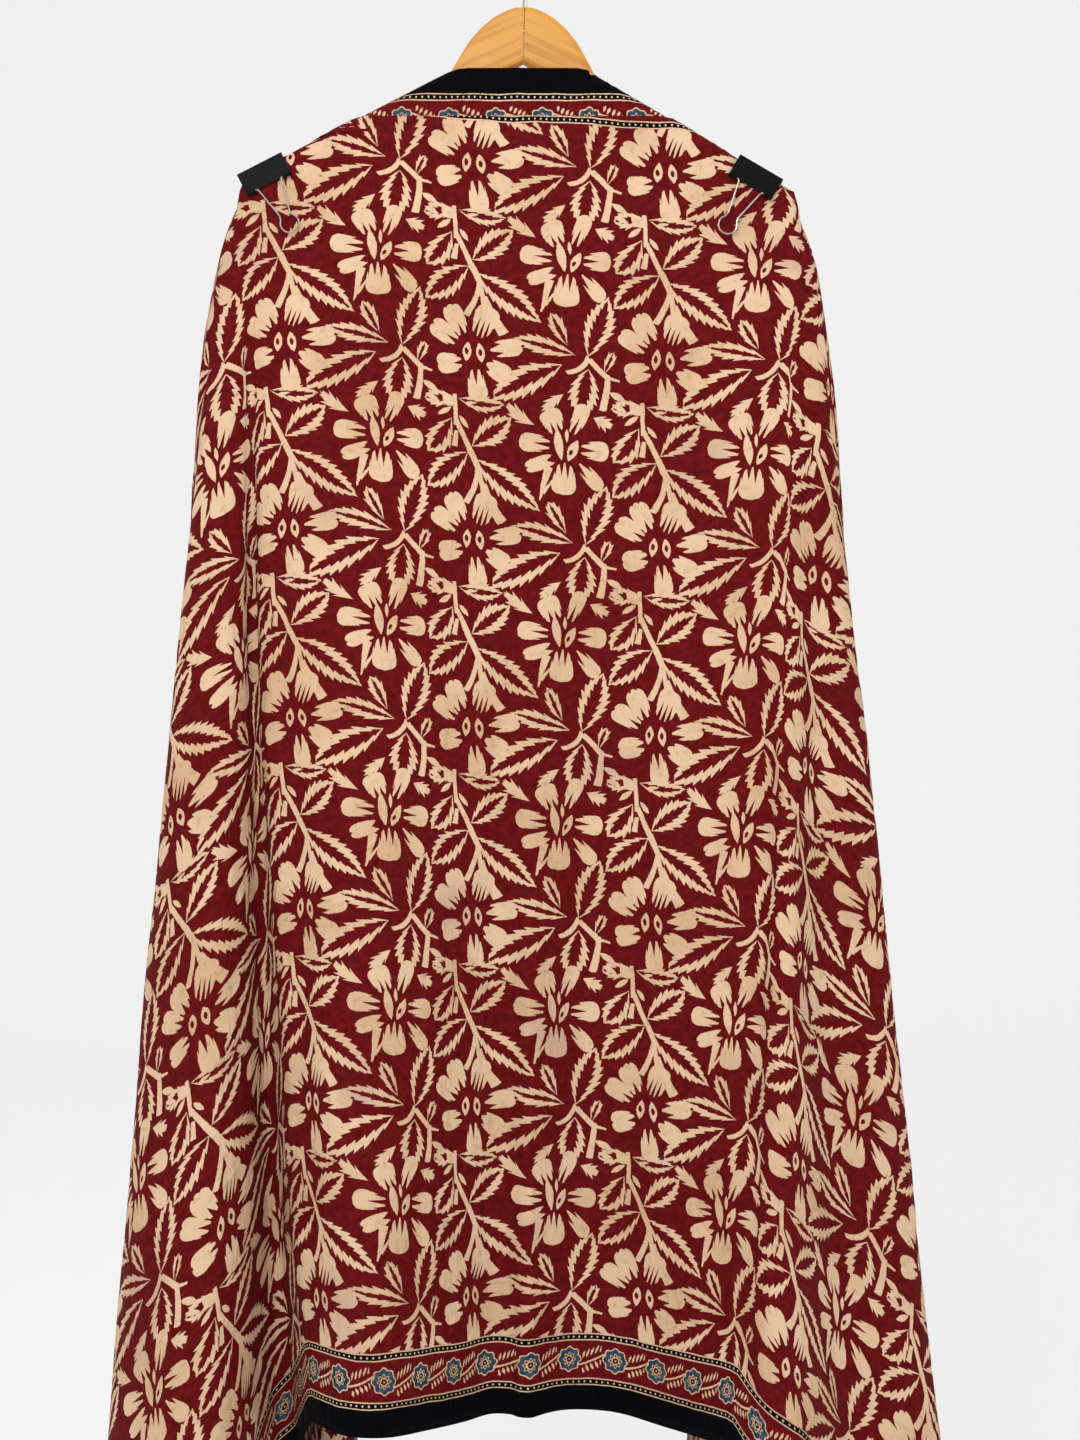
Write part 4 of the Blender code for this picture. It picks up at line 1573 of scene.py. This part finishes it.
@dataclass(frozen=True)
class DrawnSteel:
    """Bright drawn wire with faint drawing lines."""

    tone: Tone = (0.50, 0.475, 0.44, 1.0)
    dull: Tone = (0.26, 0.24, 0.215, 1.0)
    roughness: float = 0.2

    def finish(self, name: str) -> Finish:
        """Makes the steel.

        Args:
            name: the material's name.

        Returns:
            The material.
        """
        made, draft, shader = new_finish(name)
        place = draft.node("ShaderNodeTexCoord").outputs["Object"]
        lines = draft.noise(draft.vector("MULTIPLY", place, (2600.0, 2600.0, 120.0)), 1.0, 2.0)
        spots = draft.noise(place, 420.0, 3.0)
        colour = draft.mix(draft.step(spots, 0.45, 0.8), self.tone, self.dull)
        rough = draft.math("MULTIPLY_ADD", lines, 0.18, self.roughness - 0.06)
        draft.plug(shader.inputs["Base Color"], colour)
        draft.plug(shader.inputs["Roughness"], rough)
        shader.inputs["Metallic"].default_value = 1.0
        return made


@dataclass(frozen=True)
class BlackEnamel:
    """Stove enamel on spring steel, a little brown and thin in scattered patches."""

    tone: Tone = (0.0045, 0.0042, 0.0040, 1.0)
    thin: Tone = (0.034, 0.020, 0.012, 1.0)
    roughness: float = 0.38

    def finish(self, name: str) -> Finish:
        """Makes the enamel.

        Args:
            name: the material's name.

        Returns:
            The material.
        """
        made, draft, shader = new_finish(name)
        place = draft.node("ShaderNodeTexCoord").outputs["Object"]
        wear = draft.noise(place, 170.0, 5.0)
        speck = draft.noise(place, 1300.0, 2.0)
        worn = draft.math("MULTIPLY", draft.step(wear, 0.58, 0.76), draft.step(speck, 0.42, 0.66))
        draft.plug(shader.inputs["Base Color"], draft.mix(worn, self.tone, self.thin))
        rough = draft.math("MULTIPLY_ADD", speck, 0.22, self.roughness - 0.1)
        draft.plug(shader.inputs["Roughness"], rough)
        shader.inputs["Specular IOR Level"].default_value = 0.05
        draft.plug(shader.inputs["Normal"], draft.relief(speck, 0.15, 0.0001))
        return made


@dataclass(frozen=True)
class Hardware:
    """The hanger, its hook and the two clips: solids that stay, with their finishes."""

    wood: HoneyWood = HoneyWood()
    steel: DrawnSteel = DrawnSteel()
    enamel: BlackEnamel = BlackEnamel()

    def dress(self) -> None:
        """Gives each solid its finish."""
        steel = self.steel.finish("drawn steel")
        enamel = self.enamel.finish("black enamel")
        for half in (RIGHT, LEFT):
            self.paint(f"hanger_{half.name}", self.wood.finish(f"honey wood {half.name}", half.sign))
            self.paint(f"{half.name}_clip", enamel)
            for side in ("near", "away"):
                self.paint(f"{half.name}_clip_{side}_handle", steel)
        self.paint("hook", steel)

    def paint(self, node: str, material: Finish) -> None:
        """Puts a material in a solid's slots.

        Args:
            node: the solid.
            material: its finish.
        """
        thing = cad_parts[node]
        for slot in thing.material_slots:
            slot.material = material
        LOG.info("%s: %s", node, material.name)


@dataclass(frozen=True)
class Lamp:
    """A square soft lamp: where it stands, how broad it is, and its power in watts."""

    name: str
    place: Point
    size: float
    power: float


LAMPS = (
    Lamp("broad lamp", (-0.5, -1.7, 0.6), 1.0, 20.0),
    Lamp("side lamp", (1.5, -1.6, 0.4), 1.0, 4.0),
)


@dataclass(frozen=True)
class Studio:
    """Soft, even light on a pale sweep, and the camera level with the middle of the panel."""

    camera_place: Point = (0.0107, -1.66, -0.66)
    lens: float = 50.0
    sensor: float = 36.0
    floor_z: float = -1.75
    world_strength: float = 0.91
    near_y: float = -8.0
    away_y: float = 4.6
    side_x: float = 12.0
    rise_radius: float = 1.6
    wall_height: float = 8.0
    lit_place: Point = (0.0, 0.0, -0.5)

    def build(self) -> None:
        """Makes the sweep, the lights and the camera."""
        self.make_sweep()
        world = bpy.data.worlds.new("soft room")
        world.use_nodes = True
        light = world.node_tree.nodes["Background"]
        light.inputs["Color"].default_value = (1.0, 1.0, 1.0, 1.0)
        light.inputs["Strength"].default_value = self.world_strength
        bpy.context.scene.world = world
        bpy.context.scene.view_settings.view_transform = "Standard"
        for lamp in LAMPS:
            self.place_lamp(lamp)
        eye = bpy.data.cameras.new("camera")
        eye.lens = self.lens
        eye.sensor_fit = "VERTICAL"
        eye.sensor_height = self.sensor
        eye.clip_end = 30.0
        camera = bpy.data.objects.new("camera", eye)
        camera.location = self.camera_place
        camera.rotation_euler = (math.radians(90), 0.0, 0.0)
        bpy.context.scene.collection.objects.link(camera)
        bpy.context.scene.camera = camera

    def make_sweep(self) -> None:
        """A pale floor that curves up into a backdrop far behind the cloth."""
        mesh = bmesh.new()
        start = mesh.verts.new((-self.side_x, self.near_y, self.floor_z))
        turn_in = mesh.verts.new((-self.side_x, self.away_y, self.floor_z))
        mesh.edges.new((start, turn_in))
        turn = bmesh.ops.spin(
            mesh,
            geom=[turn_in],
            cent=(-self.side_x, self.away_y, self.floor_z + self.rise_radius),
            axis=(1.0, 0.0, 0.0),
            angle=math.radians(90),
            steps=16,
        )
        top = [item for item in turn["geom_last"] if isinstance(item, bmesh.types.BMVert)]
        rise = bmesh.ops.extrude_vert_indiv(mesh, verts=top)
        bmesh.ops.translate(mesh, vec=(0.0, 0.0, self.wall_height), verts=rise["verts"])
        across = bmesh.ops.extrude_edge_only(mesh, edges=mesh.edges[:])
        moved = [item for item in across["geom"] if isinstance(item, bmesh.types.BMVert)]
        bmesh.ops.translate(mesh, vec=(2 * self.side_x, 0.0, 0.0), verts=moved)
        data = bpy.data.meshes.new("sweep")
        mesh.to_mesh(data)
        mesh.free()
        data.shade_smooth()
        paper, _, shader = new_finish("pale paper")
        shader.inputs["Base Color"].default_value = (0.95, 0.95, 0.95, 1.0)
        shader.inputs["Roughness"].default_value = 0.95
        data.materials.append(paper)
        sweep = bpy.data.objects.new("sweep", data)
        bpy.context.scene.collection.objects.link(sweep)

    def place_lamp(self, lamp: Lamp) -> None:
        """Makes a lamp and points it at the cloth.

        Args:
            lamp: the lamp.
        """
        light = bpy.data.lights.new(lamp.name, "AREA")
        light.size = lamp.size
        light.energy = lamp.power
        thing = bpy.data.objects.new(lamp.name, light)
        thing.location = lamp.place
        aim = Vector(self.lit_place) - Vector(lamp.place)
        thing.rotation_euler = aim.to_track_quat("-Z", "Y").to_euler()
        bpy.context.scene.collection.objects.link(thing)


def main() -> None:
    """Builds each piece and reports it."""
    logging.basicConfig(level=logging.INFO, format="%(message)s")
    Studio().build()
    Hardware().dress()
    cloth = DrapedCloth().build()
    block_print = BlockPrint()
    chart = block_print.chart()
    cloth.data.materials.append(block_print.finish("print face", chart, 1.0, 0.0))
    cloth.data.materials.append(block_print.finish("print reverse", chart, 0.8, 0.18))
    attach(cloth, "root")
    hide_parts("cloth")
    LOG.info("draped cloth: %d faces", len(cloth.data.polygons))


if __name__ == "__main__":
    main()
